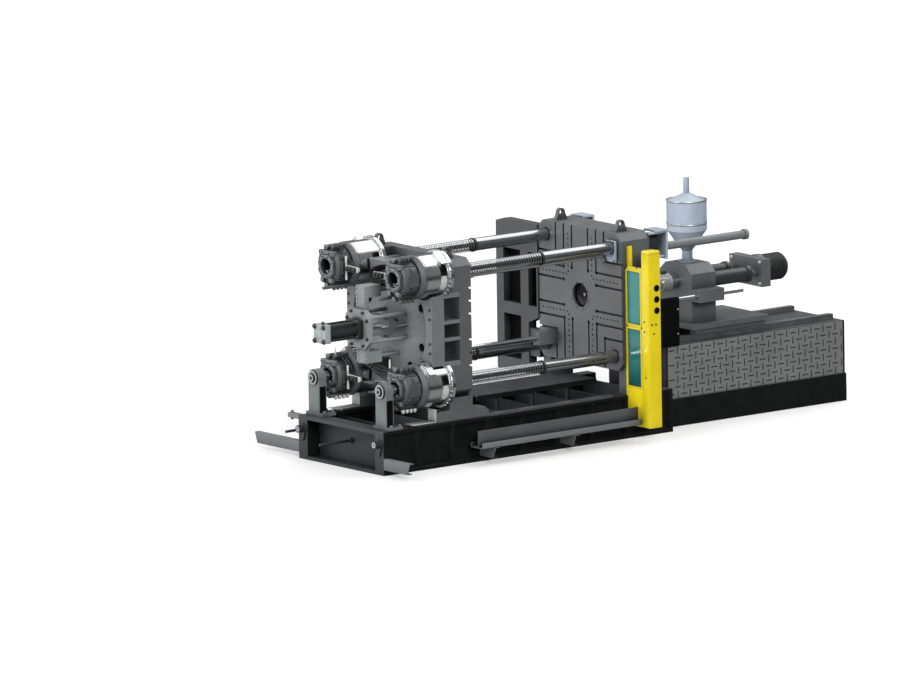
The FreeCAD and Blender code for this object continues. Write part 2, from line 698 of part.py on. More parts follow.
TRAVERSE_FITTING = 273.0
TRAVERSE_SEAT = 60.0          # a rod's end, let into the moving platen
TRAVERSE_BARREL_X = FIXED_PLATEN_THICKNESS + BAR_NUT_THICKNESS + 120.0
TRAVERSE_BARREL_SPARE = 320.0   # of the barrel, past the piston's travel
TRAVERSE_HEAD_LENGTH = 50.0
TRAVERSE_CAP_FLOOR = 30.0
TRAVERSE_BARREL_WALL = 8.0
TRAVERSE_PISTON_SETBACK = 60.0
TRAVERSE_PISTON_LENGTH = 36.0
TRAVERSE_TUBE_WALL = 12.0
TRAVERSE_COLLAR = (30.0, 26.0)   # length, and height over the rod
TRAVERSE_STAY_THICKNESS = 30.0
TRAVERSE_BRACKET_REACH = {-1: 60.0, 1: 300.0}


def traverse_places():
    """(y, z, side) of the two traverse cylinders, on a diagonal."""
    return [(sign * TRAVERSE_Y, AXIS_HEIGHT - sign * TRAVERSE_Z, sign) for sign in (-1, 1)]


def traverse_rod(y, z):
    """Chromed piston rod from the moving platen through the fixed platen into its barrel."""
    rear = MOVING_FACE_X - TRAVERSE_SEAT
    piston_x = TRAVERSE_BARREL_X + TRAVERSE_PISTON_SETBACK
    piston_end = piston_x + TRAVERSE_PISTON_LENGTH
    r = TRAVERSE_ROD_DIAMETER / 2
    piston_r = TRAVERSE_BARREL_DIAMETER / 2 - TRAVERSE_BARREL_WALL - RUNNING_GAP
    return turned([
        (rear, 0), (rear, r), (piston_x, r), (piston_x, piston_r), (piston_end, piston_r), (piston_end, 0),
    ], y, z)


def traverse_fitting(y, z):
    """Clamp tube that fixes a traverse rod to the moving platen."""
    start = MOVING_FACE_X
    collar_length, collar_height = TRAVERSE_COLLAR
    collar_r = TRAVERSE_ROD_DIAMETER / 2 + collar_height
    tube_r = TRAVERSE_ROD_DIAMETER / 2 + TRAVERSE_TUBE_WALL
    return turned([
        (start, 0), (start, collar_r), (start + collar_length, collar_r), (start + collar_length, tube_r),
        (start + TRAVERSE_FITTING, tube_r), (start + TRAVERSE_FITTING, 0),
    ], y, z)


def traverse_barrel(y, z):
    """Traverse cylinder behind the fixed platen, with its head and cap."""
    r = TRAVERSE_BARREL_DIAMETER / 2
    inside = r - TRAVERSE_BARREL_WALL
    start = TRAVERSE_BARREL_X
    end = start + PLATEN_STROKE + TRAVERSE_BARREL_SPARE
    rod_r = TRAVERSE_ROD_DIAMETER / 2 + BUSH_GAP
    head = TRAVERSE_OUTER_R
    head_x = start + TRAVERSE_HEAD_LENGTH
    cap_x = end - TRAVERSE_HEAD_LENGTH
    floor_x = end - TRAVERSE_CAP_FLOOR
    return turned([
        (start, rod_r), (start, head), (head_x, head), (head_x, r), (cap_x, r), (cap_x, head),
        (end, head), (end, 0), (floor_x, 0), (floor_x, inside), (head_x, inside), (head_x, rod_r),
    ], y, z)


def traverse_bracket(y, z, sign):
    """Guide block on the fixed platen's mould face that a traverse rod runs through."""
    reach = TRAVERSE_BRACKET_REACH[sign]
    outer = y + sign * 45
    inner = y - sign * 75
    block = box((-reach, 0), (outer, inner), (z - 90, z + 80))
    return without(block, [rod((-reach - 1, 1), y, z, TRAVERSE_ROD_DIAMETER / 2 + BUSH_GAP)])


def traverse_stay(y, z):
    """Bracket that carries the head of a traverse barrel from the fixed platen's back."""
    r = TRAVERSE_OUTER_R
    start = TRAVERSE_BARREL_X
    inner = y - math.copysign(r, y)
    deep = inner - math.copysign(TRAVERSE_STAY_THICKNESS, y)
    return box((FIXED_PLATEN_THICKNESS, start + TRAVERSE_HEAD_LENGTH), (inner, deep), (z - r, z + r))


# ---------------------------------------------------------------- guards


def far_guard():
    """Upright guard on the far side with recessed panels, its near part and an arm to the platen."""
    y0, y1 = FAR_FRAME_Y
    z0, z1 = FAR_FRAME_Z
    root = PLATEN_WIDTH / 2
    x = (-FAR_GUARD_LEAD, FAR_FRAME_DEPTH - FAR_GUARD_LEAD)
    tall = plate_x([
        (y0, z0), (y1, z0), (y1, z1 - FAR_TOP_DROP), (y1 - FAR_TOP_CORNER, z1), (root, z1),
        (root, FAR_WING_BOTTOM[0]), (y0, FAR_WING_BOTTOM[1]),
    ], x)
    recesses = [box((x[0] - 1, x[1] - FAR_FRAME_BACK), y, z) for y, z in FAR_RECESSES]
    arm = box((0, x[1]), (root, y0), FAR_ARM_Z)
    return union([without(tall, recesses), arm])


def guard_column():
    """Tall folded column with a large round front corner and an arched top."""
    x0 = GUARD_X
    x1 = GUARD_X + GUARD_COLUMN_DEPTH
    y0 = -GUARD_COLUMN_Y
    y1 = -(GUARD_COLUMN_Y + GUARD_COLUMN_SIZE)
    r = 70.0
    corner = V(x0 + r, y1 + r, 0)
    arc_mid = V(corner.x - r * math.sqrt(0.5), corner.y - r * math.sqrt(0.5), 0)
    edges = [
        Part.LineSegment(V(x1, y0, 0), V(x0, y0, 0)).toShape(),
        Part.LineSegment(V(x0, y0, 0), V(x0, corner.y, 0)).toShape(),
        Part.Arc(V(x0, corner.y, 0), arc_mid, V(corner.x, y1, 0)).toShape(),
        Part.LineSegment(V(corner.x, y1, 0), V(x1, y1, 0)).toShape(),
        Part.LineSegment(V(x1, y1, 0), V(x1, y0, 0)).toShape(),
    ]
    column = Part.Face(Part.Wire(edges)).extrude(V(0, 0, GUARD_COLUMN_TOP - GUARD_BOTTOM))
    column.translate(V(0, 0, GUARD_BOTTOM))
    wall = 12.0
    hollow = box((x0 + wall, x1 + 1), (y0 - wall, y1 + r), (GUARD_BOTTOM + wall, GUARD_COLUMN_TOP - wall))
    return without(column, [hollow])


GROMMET_DIAMETER = 85.0
GROMMET_HEIGHTS = (1710.0, 1855.0, 2000.0)


def grommets():
    """Three round cable plugs in the outer side of the column."""
    y = -(GUARD_COLUMN_Y + GUARD_COLUMN_SIZE)
    x = GUARD_X + 0.68 * GUARD_COLUMN_DEPTH
    return [crossbar(x, (y - 6, y), z, GROMMET_DIAMETER / 2) for z in GROMMET_HEIGHTS]


WINDOW_LOW = (700.0, 1440.0)
WINDOW_HIGH = (1510.0, 2190.0)
WINDOW_Y = (-1165.0, -900.0)


def guard_frame():
    """Guard sheet between platen and column, with two window openings."""
    x = (GUARD_X, GUARD_X + GUARD_SHEET)
    inner = -PLATEN_WIDTH / 2
    low_inner = -BASE_WIDTH / 2
    sheet = plate_x([
        (-GUARD_COLUMN_Y, GUARD_BOTTOM), (low_inner, GUARD_BOTTOM), (low_inner, BASE_HEIGHT),
        (inner, BASE_HEIGHT), (inner, GUARD_TOP - 60), (inner - 60, GUARD_TOP), (-GUARD_COLUMN_Y, GUARD_TOP),
    ], x)
    openings = [box((x[0] - 1, x[1] + 1), WINDOW_Y, z) for z in (WINDOW_LOW, WINDOW_HIGH)]
    return without(sheet, openings)


def guard_windows():
    """Two tinted panes, set in the openings of the guard sheet."""
    mid = GUARD_X + GUARD_SHEET / 2
    return [box((mid - 4, mid + 4), WINDOW_Y, z) for z in (WINDOW_LOW, WINDOW_HIGH)]


GUARD_POST_DEPTH = 60.0
GUARD_POST_WIDTH = 40.0
GUARD_POST_TOP = 2500.0


def guard_post():
    """Square post behind the guard sheet."""
    x0 = GUARD_X + GUARD_SHEET
    inner = -PLATEN_WIDTH / 2
    return box((x0, x0 + GUARD_POST_DEPTH), (inner - GUARD_POST_WIDTH, inner), (BASE_HEIGHT, GUARD_POST_TOP))


# ---------------------------------------------------------------- moving platen

EYE_HALF = 180.0
DISH_RADIUS = 760.0
DISH_DEPTH = 98.0
DISH_SLOPE = 60.0
DISH_HOLE_RING = 600.0
DISH_HOLE_DIAMETER = 110.0
DISH_HOLE_ANGLES = (25, 120, 155, 205, 240, 335)
CORE_DIAMETER = 560.0
EJECTOR_BORE = 110.0
KNOCKOUT_Y = 210.0
KNOCKOUT_DIAMETER = 50.0
KNOCKOUT_CLEARANCE = 5.0
OUTER_RIB = 440.0             # middle of the outer level ribs, from the axis
OUTER_RIB_THICKNESS = 60.0
INNER_RIBS = (95.0, -125.0)
INNER_RIB_THICKNESS = 45.0
UPRIGHT_RIB_Y = 330.0


def rear_plate():
    """Rear wall of the moving platen, with a shallow round dish."""
    x = (MOVING_REAR_X, MOVING_REAR_X + REAR_PLATE_THICKNESS)
    half = BASE_WIDTH / 2
    tall = REAR_PLATE_HEIGHT / 2
    plate = box(x, (-half, half), (AXIS_HEIGHT - tall, AXIS_HEIGHT + tall))
    wide = (x[0] - 1, x[1] + 1)
    corners = []
    for y, z in CORNERS.values():
        beyond = z + math.copysign(tall, z - AXIS_HEIGHT)
        corners.append(box(wide, (y, math.copysign(half + 1, y)), (z, beyond)))
    dish = turned([
        (x[0] - 1, 0), (x[0] - 1, DISH_RADIUS), (x[0] + DISH_DEPTH, DISH_RADIUS - DISH_SLOPE),
        (x[0] + DISH_DEPTH, 0),
    ], 0, AXIS_HEIGHT)
    return without(plate, corners + [dish])


def platen_ribs(x):
    """Level and upright ribs between the two plates of the moving platen."""
    half = BASE_WIDTH / 2
    tall = REAR_PLATE_HEIGHT / 2
    levels = [(sign * OUTER_RIB, OUTER_RIB_THICKNESS) for sign in (-1, 1)]
    levels += [(offset, INNER_RIB_THICKNESS) for offset in INNER_RIBS]
    ribs = []
    for offset, thick in levels:
        z = AXIS_HEIGHT + offset
        ribs.append(box(x, (-half, half), (z - thick / 2, z + thick / 2)))
    for y in (-UPRIGHT_RIB_Y, UPRIGHT_RIB_Y):
        wide = (y - OUTER_RIB_THICKNESS / 2, y + OUTER_RIB_THICKNESS / 2)
        ribs.append(box(x, wide, (AXIS_HEIGHT + OUTER_RIB, AXIS_HEIGHT + tall)))
        ribs.append(box(x, wide, (AXIS_HEIGHT - tall, AXIS_HEIGHT - OUTER_RIB)))
    return ribs


def platen_holes():
    """Bores that run through the whole moving platen."""
    through = (MOVING_REAR_X - 1, MOVING_FACE_X + 1)
    holes = [rod(through, 0, AXIS_HEIGHT, EJECTOR_BORE / 2)]
    for side in (-1, 1):
        holes.append(rod(through, side * KNOCKOUT_Y, AXIS_HEIGHT, KNOCKOUT_DIAMETER / 2 + KNOCKOUT_CLEARANCE))
    for y, z in CORNERS.values():
        holes.append(rod(through, y, z, BAR_R + BUSH_GAP))
    return holes


def moving_platen():
    """Mould plate of the moving platen with the four eyes that ride on the tie bars."""
    half = BASE_WIDTH / 2
    front_x = (MOVING_FACE_X - MOULD_PLATE_THICKNESS, MOVING_FACE_X)
    eye_x = (DRUM_FRONT_X, MOVING_FACE_X)
    pieces = [plate_x(chamfered(BASE_WIDTH, PLATEN_BOTTOM, PLATEN_TOP, PLATEN_CORNER), front_x)]
    for y, z in CORNERS.values():
        out_y = math.copysign(half, y)
        in_y = y - math.copysign(EYE_HALF, y)
        up = math.copysign(1, z - AXIS_HEIGHT)
        top = AXIS_HEIGHT + up * PLATEN_HEIGHT / 2
        bottom = AXIS_HEIGHT + up * (OUTER_RIB + OUTER_RIB_THICKNESS / 2)
        pieces.append(plate_x([
            (in_y, bottom), (out_y, bottom), (out_y, top - up * PLATEN_CORNER),
            (out_y - math.copysign(PLATEN_CORNER, y), top), (in_y, top),
        ], eye_x))
    tools = platen_holes()
    for y, z, _ in traverse_places():
        tools.append(rod((MOVING_FACE_X - TRAVERSE_SEAT, MOVING_FACE_X + 1), y, z, TRAVERSE_ROD_DIAMETER / 2))
    tools += clamping_slots(MOVING_FACE_X, -1, BASE_WIDTH)
    tools += tapped_holes(MOVING_FACE_X, -1)
    return without(union(pieces), tools)


def platen_rear_casting():
    """Rear part of the moving platen: rear wall, ribs and round core, cut round the clamp cylinders."""
    hollow_x = (MOVING_REAR_X + REAR_PLATE_THICKNESS, MOVING_FACE_X - MOULD_PLATE_THICKNESS)
    core = rod((MOVING_REAR_X + DISH_DEPTH, hollow_x[1]), 0, AXIS_HEIGHT, CORE_DIAMETER / 2)
    body = union([rear_plate(), core] + platen_ribs(hollow_x))
    tools = platen_holes()
    for y, z in CORNERS.values():
        tools.append(rod((MOVING_REAR_X - 1, DRUM_FRONT_X), y, z, DRUM_DIAMETER / 2 + DRUM_CLEARANCE))
        eye_y = (y - math.copysign(EYE_HALF, y), math.copysign(BASE_WIDTH, y))
        eye_z = (
            AXIS_HEIGHT + math.copysign(OUTER_RIB + OUTER_RIB_THICKNESS / 2, z - AXIS_HEIGHT),
            AXIS_HEIGHT + math.copysign(PLATEN_HEIGHT, z - AXIS_HEIGHT))
        tools.append(box((DRUM_FRONT_X, hollow_x[1]), eye_y, eye_z))
    for angle in DISH_HOLE_ANGLES:
        a = math.radians(angle)
        tools.append(rod(
            (MOVING_REAR_X - 1, hollow_x[0] + 1), DISH_HOLE_RING * math.cos(a),
            AXIS_HEIGHT + DISH_HOLE_RING * math.sin(a), DISH_HOLE_DIAMETER / 2))
    return without(body, tools)


SHOE_BACK = 583.0
SHOE_FRONT = 260.0
SHOE_TOE = 60.0
SHOE_TOP_GAP = 15.0


def platen_shoe(side):
    """Sliding foot under a lower eye of the moving platen, longer than the platen."""
    outer = side * BASE_WIDTH / 2
    inner = side * (BASE_WIDTH / 2 - BEAM_WIDTH)
    low = WAY_TOP + RUNNING_GAP
    top = LOWER_Z - DRUM_FLANGE_DIAMETER / 2 - SHOE_TOP_GAP
    rear = MOVING_FACE_X - SHOE_BACK
    front = MOVING_FACE_X + SHOE_FRONT
    return plate_y([
        (rear, low), (front, low), (front, low + SHOE_TOE), (front - SHOE_TOE, low + 2 * SHOE_TOE),
        (MOVING_FACE_X, low + 2 * SHOE_TOE), (MOVING_FACE_X, PLATEN_BOTTOM), (DRUM_FRONT_X, PLATEN_BOTTOM),
        (DRUM_FRONT_X, top), (rear, top - SHOE_TOP_GAP),
    ], (outer, inner))


def drum(y, z):
    """Clamp cylinder with a polished outside."""
    r = DRUM_DIAMETER / 2
    inside = r - DRUM_WALL
    floor_x = DRUM_FRONT_X - DRUM_FLOOR
    bore = UNIT_BORE_DIAMETER / 2
    return turned([
        (DRUM_REAR_X, inside), (DRUM_REAR_X, r), (DRUM_FRONT_X - DRUM_FLANGE_THICKNESS, r),
        (DRUM_FRONT_X - DRUM_FLANGE_THICKNESS, DRUM_FLANGE_DIAMETER / 2),
        (DRUM_FRONT_X, DRUM_FLANGE_DIAMETER / 2), (DRUM_FRONT_X, bore), (floor_x, bore), (floor_x, inside),
    ], y, z)


UNIT_RAIL_DIAMETER = 44.0
UPPER_RAIL_REAR_X = -3715.0
LOWER_RAIL_GAP = 17.0         # in front of a pedestal
LOWER_RAIL_REAR_X = PEDESTAL_X[1] + PEDESTAL_BOSS + LOWER_RAIL_GAP
UNIT_RAIL_SIDE = 120.0        # from the drum's middle towards the machine's middle
UNIT_RAIL_DROP = 250.0


def drum_cover(y, z):
    """Chamfered rear cover of a clamp cylinder, with the rail that runs under its locking unit."""
    r = DRUM_DIAMETER / 2
    bore = PISTON_TUBE_DIAMETER / 2 + BUSH_GAP
    cover = turned([
        (COVER_REAR_X, bore), (COVER_REAR_X, r - COVER_CHAMFER), (COVER_REAR_X + COVER_CHAMFER, r),
        (DRUM_REAR_X, r), (DRUM_REAR_X, bore),
    ], y, z)
    rail_y = y - math.copysign(UNIT_RAIL_SIDE, y)
    rail_rear = LOWER_RAIL_REAR_X if z < AXIS_HEIGHT else UPPER_RAIL_REAR_X
    rail = rod((rail_rear, DRUM_REAR_X), rail_y, z - UNIT_RAIL_DROP, UNIT_RAIL_DIAMETER / 2)
    return union([cover, rail])


PORT_BLOCK_LENGTH = 100.0
PORT_BLOCK_WIDTH = 220.0
PORT_BLOCK_RISE = 34.0
PORT_ANGLE = 38.0


def port_block(y, z):
    """Oil port block on a clamp cylinder, on its outer upper side, clear of the rear plate."""
    r = DRUM_DIAMETER / 2
    start = DRUM_REAR_X + PORT_BLOCK_RISE if z < AXIS_HEIGHT else MOVING_REAR_X + PORT_BLOCK_LENGTH
    x = (start, start + PORT_BLOCK_LENGTH)
    half = PORT_BLOCK_WIDTH / 2
    block = box(x, (-half, half), (r * 0.8, r + PORT_BLOCK_RISE))
    block = without(block, [rod((x[0] - 1, x[1] + 1), 0, 0, r)])
    block.rotate(V(0, 0, 0), V(1, 0, 0), -math.copysign(PORT_ANGLE, y))
    block.translate(V(0, y, z))
    return block


# ---------------------------------------------------------------- locking units


def lock_unit(y, z):
    """Piston with its tube, nut housing, end flange and the two nut actuators."""
    bore = UNIT_BORE_DIAMETER / 2
    tube_r = PISTON_TUBE_DIAMETER / 2
    piston_r = DRUM_DIAMETER / 2 - DRUM_WALL - BUSH_GAP
    floor_x = DRUM_FRONT_X - DRUM_FLOOR
    piston_front = floor_x - RUNNING_GAP
    piston_rear = piston_front - PISTON_THICKNESS
    body_r = UNIT_BODY_DIAMETER / 2
    shaft = turned([
        (UNIT_REAR_X, bore), (UNIT_REAR_X, body_r - 30), (UNIT_REAR_X + 30, body_r),
        (UNIT_FRONT_X - 16, body_r),
        (UNIT_FRONT_X, body_r - 16), (UNIT_FRONT_X, tube_r), (piston_rear, tube_r), (piston_rear, piston_r),
        (piston_front, piston_r), (piston_front, bore),
    ], y, z)
    flange_x = (UNIT_REAR_X - UNIT_FLANGE_THICKNESS, UNIT_REAR_X)
    corner = UNIT_FLANGE_WIDTH * 0.25
    half = UNIT_FLANGE_WIDTH / 2
    outline = [
        (-half + corner, -half), (half - corner, -half), (half, -half + corner), (half, half - corner),
        (half - corner, half), (-half + corner, half), (-half, half - corner), (-half, -half + corner),
    ]
    flange = plate_x([(y + py, z + pz) for py, pz in outline], flange_x)
    pieces = [shaft, flange]
    mid = (UNIT_REAR_X + UNIT_FRONT_X) / 2
    for side in (-1, 1):
        pieces.append(box(
            (mid - 100, mid + 80), (y - 95, y + 95), (z + side * (body_r - 45), z + side * (body_r + 26))))
        pieces.append(rod((mid - 110, mid + 70), y, z + side * (body_r + 26), 34))
        pieces.append(box(
            (mid - 70, mid + 90), (y + side * (body_r - 30), y + side * (body_r + 22)), (z - 80, z + 80)))
    body = union(pieces)
    nut_mid = nut_middle()
    cavity = box(
        (nut_mid - NUT_LENGTH / 2 - RUNNING_GAP, nut_mid + NUT_LENGTH / 2 + RUNNING_GAP),
        (y - NUT_WIDTH / 2 - RUNNING_GAP, y + NUT_WIDTH / 2 + RUNNING_GAP),
        (z - NUT_START - NUT_HEIGHT - NUT_OPENING - 4, z + NUT_START + NUT_HEIGHT + NUT_OPENING + 4))
    through = rod((UNIT_REAR_X - UNIT_FLANGE_THICKNESS - 1, piston_front + 1), y, z, bore)
    return without(body, [cavity, through])


NUT_START = 36.0
NUT_GAP = 0.6


def nut_middle():
    """X of the middle of the half nuts, in step with the grooves."""
    wanted = (UNIT_REAR_X + UNIT_FRONT_X) / 2
    steps = round((GROOVE_FRONT_X - wanted) / GROOVE_PITCH)
    return GROOVE_FRONT_X - steps * GROOVE_PITCH


def half_nut(y, z, side):
    """Half nut with buttress teeth, drawn back from the tie bar."""
    mid = nut_middle()
    x = (mid - NUT_LENGTH / 2, mid + NUT_LENGTH / 2)
    block = box(x, (-NUT_WIDTH / 2, NUT_WIDTH / 2), (NUT_START, NUT_START + NUT_HEIGHT))
    start = mid - math.ceil(NUT_LENGTH / 2 / GROOVE_PITCH) * GROOVE_PITCH
    count = 2 * math.ceil(NUT_LENGTH / 2 / GROOVE_PITCH)
    teeth = groove_profile(start, count, NUT_GAP)
    cutter = turned([(start, 0)] + teeth + [(teeth[-1][0], 0)])
    nut = without(block, [cutter])
    if side < 0:
        nut = nut.mirror(V(0, 0, 0), V(0, 0, 1))
    nut.translate(V(0, y, z + side * NUT_OPENING))
    return nut


# ---------------------------------------------------------------- ejector

GUIDE_Y = 150.0
GUIDE_Z = 110.0
GUIDE_DIAMETER = 44.0
STRUT_Y = 215.0
STRUT_Z = 155.0
STRUT_DIAMETER = 52.0
ROD_HOLE_GAP = 1.0
CROSSHEAD_X = (-3300.0, -3212.0)
CROSSHEAD_WIDTH = 480.0
CROSSHEAD_HEIGHT = 280.0
EJECTOR_ROD_DIAMETER = 80.0
EJECTOR_BARREL_DIAMETER = 200.0
EJECTOR_CAP = 240.0
DISH_X = MOVING_REAR_X + DISH_DEPTH


def octagon(width, height, corner):
    """Outline of a plate round the injection axis with cut corners, as (y, z) points."""
    return chamfered(width, AXIS_HEIGHT - height / 2, AXIS_HEIGHT + height / 2, corner)


def ejector_frame():
    """Yoke plate on four struts, and the tall bridge behind it on four rods."""
    yoke_x = (YOKE_X, YOKE_X + YOKE_THICKNESS)
    plate = plate_x(octagon(YOKE_WIDTH, YOKE_HEIGHT, YOKE_CORNER), yoke_x)
    bridge_x = (yoke_x[1], yoke_x[1] + BRIDGE_THICKNESS)
    wide = (-BRIDGE_WIDTH / 2, BRIDGE_WIDTH / 2)
    tall = BRIDGE_HEIGHT / 2
    bridge_z = AXIS_HEIGHT + BRIDGE_RISE
    bridge = box(bridge_x, wide, (bridge_z - tall, bridge_z + tall))
    block_x = (bridge_x[1], bridge_x[1] + BRIDGE_BLOCK_LENGTH)
    block_rod_x = (block_x[1], DISH_X)
    strut_x = (yoke_x[1], DISH_X)
    rod_y = BRIDGE_WIDTH / 2 - BRIDGE_ROD_DIAMETER
    rod_z = tall - BRIDGE_BLOCK_HEIGHT / 2
    pieces = [plate, bridge]
    for end in (-1, 1):
        z = (bridge_z + end * (tall - BRIDGE_BLOCK_HEIGHT), bridge_z + end * tall)
        pieces.append(box(block_x, wide, z))
        for side in (-1, 1):
            upper = bridge_z + end * rod_z
            pieces.append(rod(block_rod_x, side * rod_y, upper, BRIDGE_ROD_DIAMETER / 2))
            strut_z = AXIS_HEIGHT + end * STRUT_Z
            pieces.append(rod(strut_x, side * STRUT_Y, strut_z, STRUT_DIAMETER / 2))
    hole = rod((yoke_x[0] - 1, bridge_x[1] + 1), 0, AXIS_HEIGHT, EJECTOR_ROD_DIAMETER / 2 + ROD_HOLE_GAP)
    return without(union(pieces), [hole])


def ejector_guides():
    """Two chromed guide rods for the crosshead."""
    return [
        rod((YOKE_X + YOKE_THICKNESS, DISH_X), sign * GUIDE_Y, AXIS_HEIGHT, GUIDE_DIAMETER / 2)
        for sign in (-1, 1)
    ]


def ejector_cylinder():
    """Ejector cylinder with square end caps and four tie rods with nuts."""
    half = EJECTOR_CAP / 2
    square = (-half, half)
    upright_z = (AXIS_HEIGHT - half, AXIS_HEIGHT + half)
    front = YOKE_X
    barrel_r = EJECTOR_BARREL_DIAMETER / 2
    body = union([
        box((EJECTOR_REAR_X, EJECTOR_REAR_X + 90), square, upright_z),
        box((front - 80, front), square, upright_z),
        rod((EJECTOR_REAR_X + 90, front - 80), 0, AXIS_HEIGHT, barrel_r),
    ] + [
        rod((EJECTOR_REAR_X - 30, front - 80), sy * (half - 26), AXIS_HEIGHT + sz * (half - 26), 14)
        for sy in (-1, 1) for sz in (-1, 1)
    ])
    bore = turned([
        (EJECTOR_REAR_X + 60, 0), (EJECTOR_REAR_X + 60, barrel_r - 22), (front - 60, barrel_r - 22),
        (front - 60, EJECTOR_ROD_DIAMETER / 2 + BUSH_GAP), (front + 1, EJECTOR_ROD_DIAMETER / 2 + BUSH_GAP),
        (front + 1, 0),
    ], 0, AXIS_HEIGHT)
    return without(body, [bore])


def ejector_crosshead():
    """Crosshead with its piston rod, piston and three knock-out bars."""
    bore = EJECTOR_BARREL_DIAMETER / 2 - 22
    rod_r = EJECTOR_ROD_DIAMETER / 2
    piston_x = YOKE_X - 60 - EJECTOR_STROKE - 60
    shaft = turned([
        (piston_x, 0), (piston_x, bore - RUNNING_GAP), (piston_x + 50, bore - RUNNING_GAP),
        (piston_x + 50, rod_r), (MOVING_FACE_X - 30, rod_r), (MOVING_FACE_X - 30, 0),
    ], 0, AXIS_HEIGHT)
    half_z = CROSSHEAD_HEIGHT / 2
    head = box(
        CROSSHEAD_X, (-CROSSHEAD_WIDTH / 2, CROSSHEAD_WIDTH / 2), (AXIS_HEIGHT - 100, AXIS_HEIGHT + 100))
    cheeks = box(CROSSHEAD_X, (-130, 130), (AXIS_HEIGHT - half_z, AXIS_HEIGHT + half_z))
    bars = [
        rod((CROSSHEAD_X[1], MOVING_FACE_X - 30), side * KNOCKOUT_Y, AXIS_HEIGHT, KNOCKOUT_DIAMETER / 2)
        for side in (-1, 1)
    ]
    body = union([shaft, head, cheeks] + bars)
    through = (CROSSHEAD_X[0] - 1, CROSSHEAD_X[1] + 1)
    guide_r = GUIDE_DIAMETER / 2 + BUSH_GAP
    guides = [rod(through, side * GUIDE_Y, AXIS_HEIGHT, guide_r) for side in (-1, 1)]
    return without(body, guides)


MANIFOLD_Y = 240.0
MANIFOLD_Z = 530.0
MANIFOLD_LENGTH = 130.0
MANIFOLD_WIDTH = 220.0
MANIFOLD_HEIGHT = 130.0
VALVE_DIAMETER = 60.0
VALVE_LENGTH = 90.0


def manifolds():
    """Two valve manifolds in the rear plate's dish, on its far side, each with three valves."""
    blocks = []
    x = (DISH_X - MANIFOLD_LENGTH, DISH_X)
    for side in (-1, 1):
        y = MANIFOLD_Y
        z = AXIS_HEIGHT + side * MANIFOLD_Z
        wide = (y - MANIFOLD_WIDTH / 2, y + MANIFOLD_WIDTH / 2)
        pieces = [box(x, wide, (z - MANIFOLD_HEIGHT / 2, z + MANIFOLD_HEIGHT / 2))]
        valve_x = (x[0] - VALVE_LENGTH, x[0])
        for place in (-1, 0, 1):
            pieces.append(rod(valve_x, y + place * MANIFOLD_WIDTH / 3, z, VALVE_DIAMETER / 2))
        blocks.append(union(pieces))
    return blocks


# ---------------------------------------------------------------- injection unit


def injection_base():
    """Narrower base of the injection unit: plinth, clad body and end face."""
    half = INJECTION_BASE_WIDTH / 2
    x0, x1 = INJECTION_BASE_X
    return union([
        box((x0, x1), (-half, half), (0, PLINTH_HEIGHT)),
        box((x0 + 40, x1), (-half + 30, half - 30), (PLINTH_HEIGHT, INJECTION_BASE_HEIGHT)),
    ])


CLADDING_THICKNESS = 12.0


def tread_covers():
    """Tread-plate cladding on both sides of the injection base."""
    half = INJECTION_BASE_WIDTH / 2 - 30
    x = (INJECTION_BASE_X[0] + 60, INJECTION_BASE_X[1] - 40)
    return [
        box(x, (side * half, side * (half + CLADDING_THICKNESS)), (PLINTH_HEIGHT, INJECTION_BASE_HEIGHT - 4))
        for side in (-1, 1)
    ]


RAIL_Y = 400.0
RAIL_WIDTH = 90.0
RAIL_HEIGHT = 70.0


def carriage_rails():
    """Two rails on the injection base for the carriage."""
    z = (INJECTION_BASE_HEIGHT, INJECTION_BASE_HEIGHT + RAIL_HEIGHT)
    x = (INJECTION_BASE_X[0] + 120, INJECTION_BASE_X[1] - 60)
    return [box(x, (s * RAIL_Y - RAIL_WIDTH / 2, s * RAIL_Y + RAIL_WIDTH / 2), z) for s in (-1, 1)]


PULL_ROD_Y = 437.5
PULL_ROD_DROP = 150.0         # under the injection axis
PULL_ROD_DIAMETER = 60.0
PULL_ROD_SPARE = 300.0        # past the housing's front at the end of the carriage's travel


def pull_rods():
    """Chromed rods behind the fixed platen that draw the carriage up to the mould."""
    x = (FIXED_PLATEN_THICKNESS, HOUSING_X[0] + CARRIAGE_STROKE + PULL_ROD_SPARE)
    z = AXIS_HEIGHT - PULL_ROD_DROP
    return [rod(x, side * PULL_ROD_Y, z, PULL_ROD_DIAMETER / 2) for side in (-1, 1)]


CARRIAGE_X = (HOUSING_X[0] - 80.0, DRIVE_PLATE_X[0] - 20.0)
CARRIAGE_HALF_WIDTH = 480.0
CARRIAGE_PLATE = 70.0
CARRIAGE_SHOE_HEIGHT = 60.0
CARRIAGE_SHOE_WIDTH = 120.0
CARRIAGE_SHOE_INSET = 40.0    # from the ends of the carriage plate
HOUSING_HALF_WIDTH = 330.0
HOUSING_HALF_TOP = 200.0
HOUSING_RISE = (120.0, 230.0)   # shoulder and top over the injection axis
PULL_ROD_BOSS = (70.0, 80.0)    # outside the pull rod, and half its height


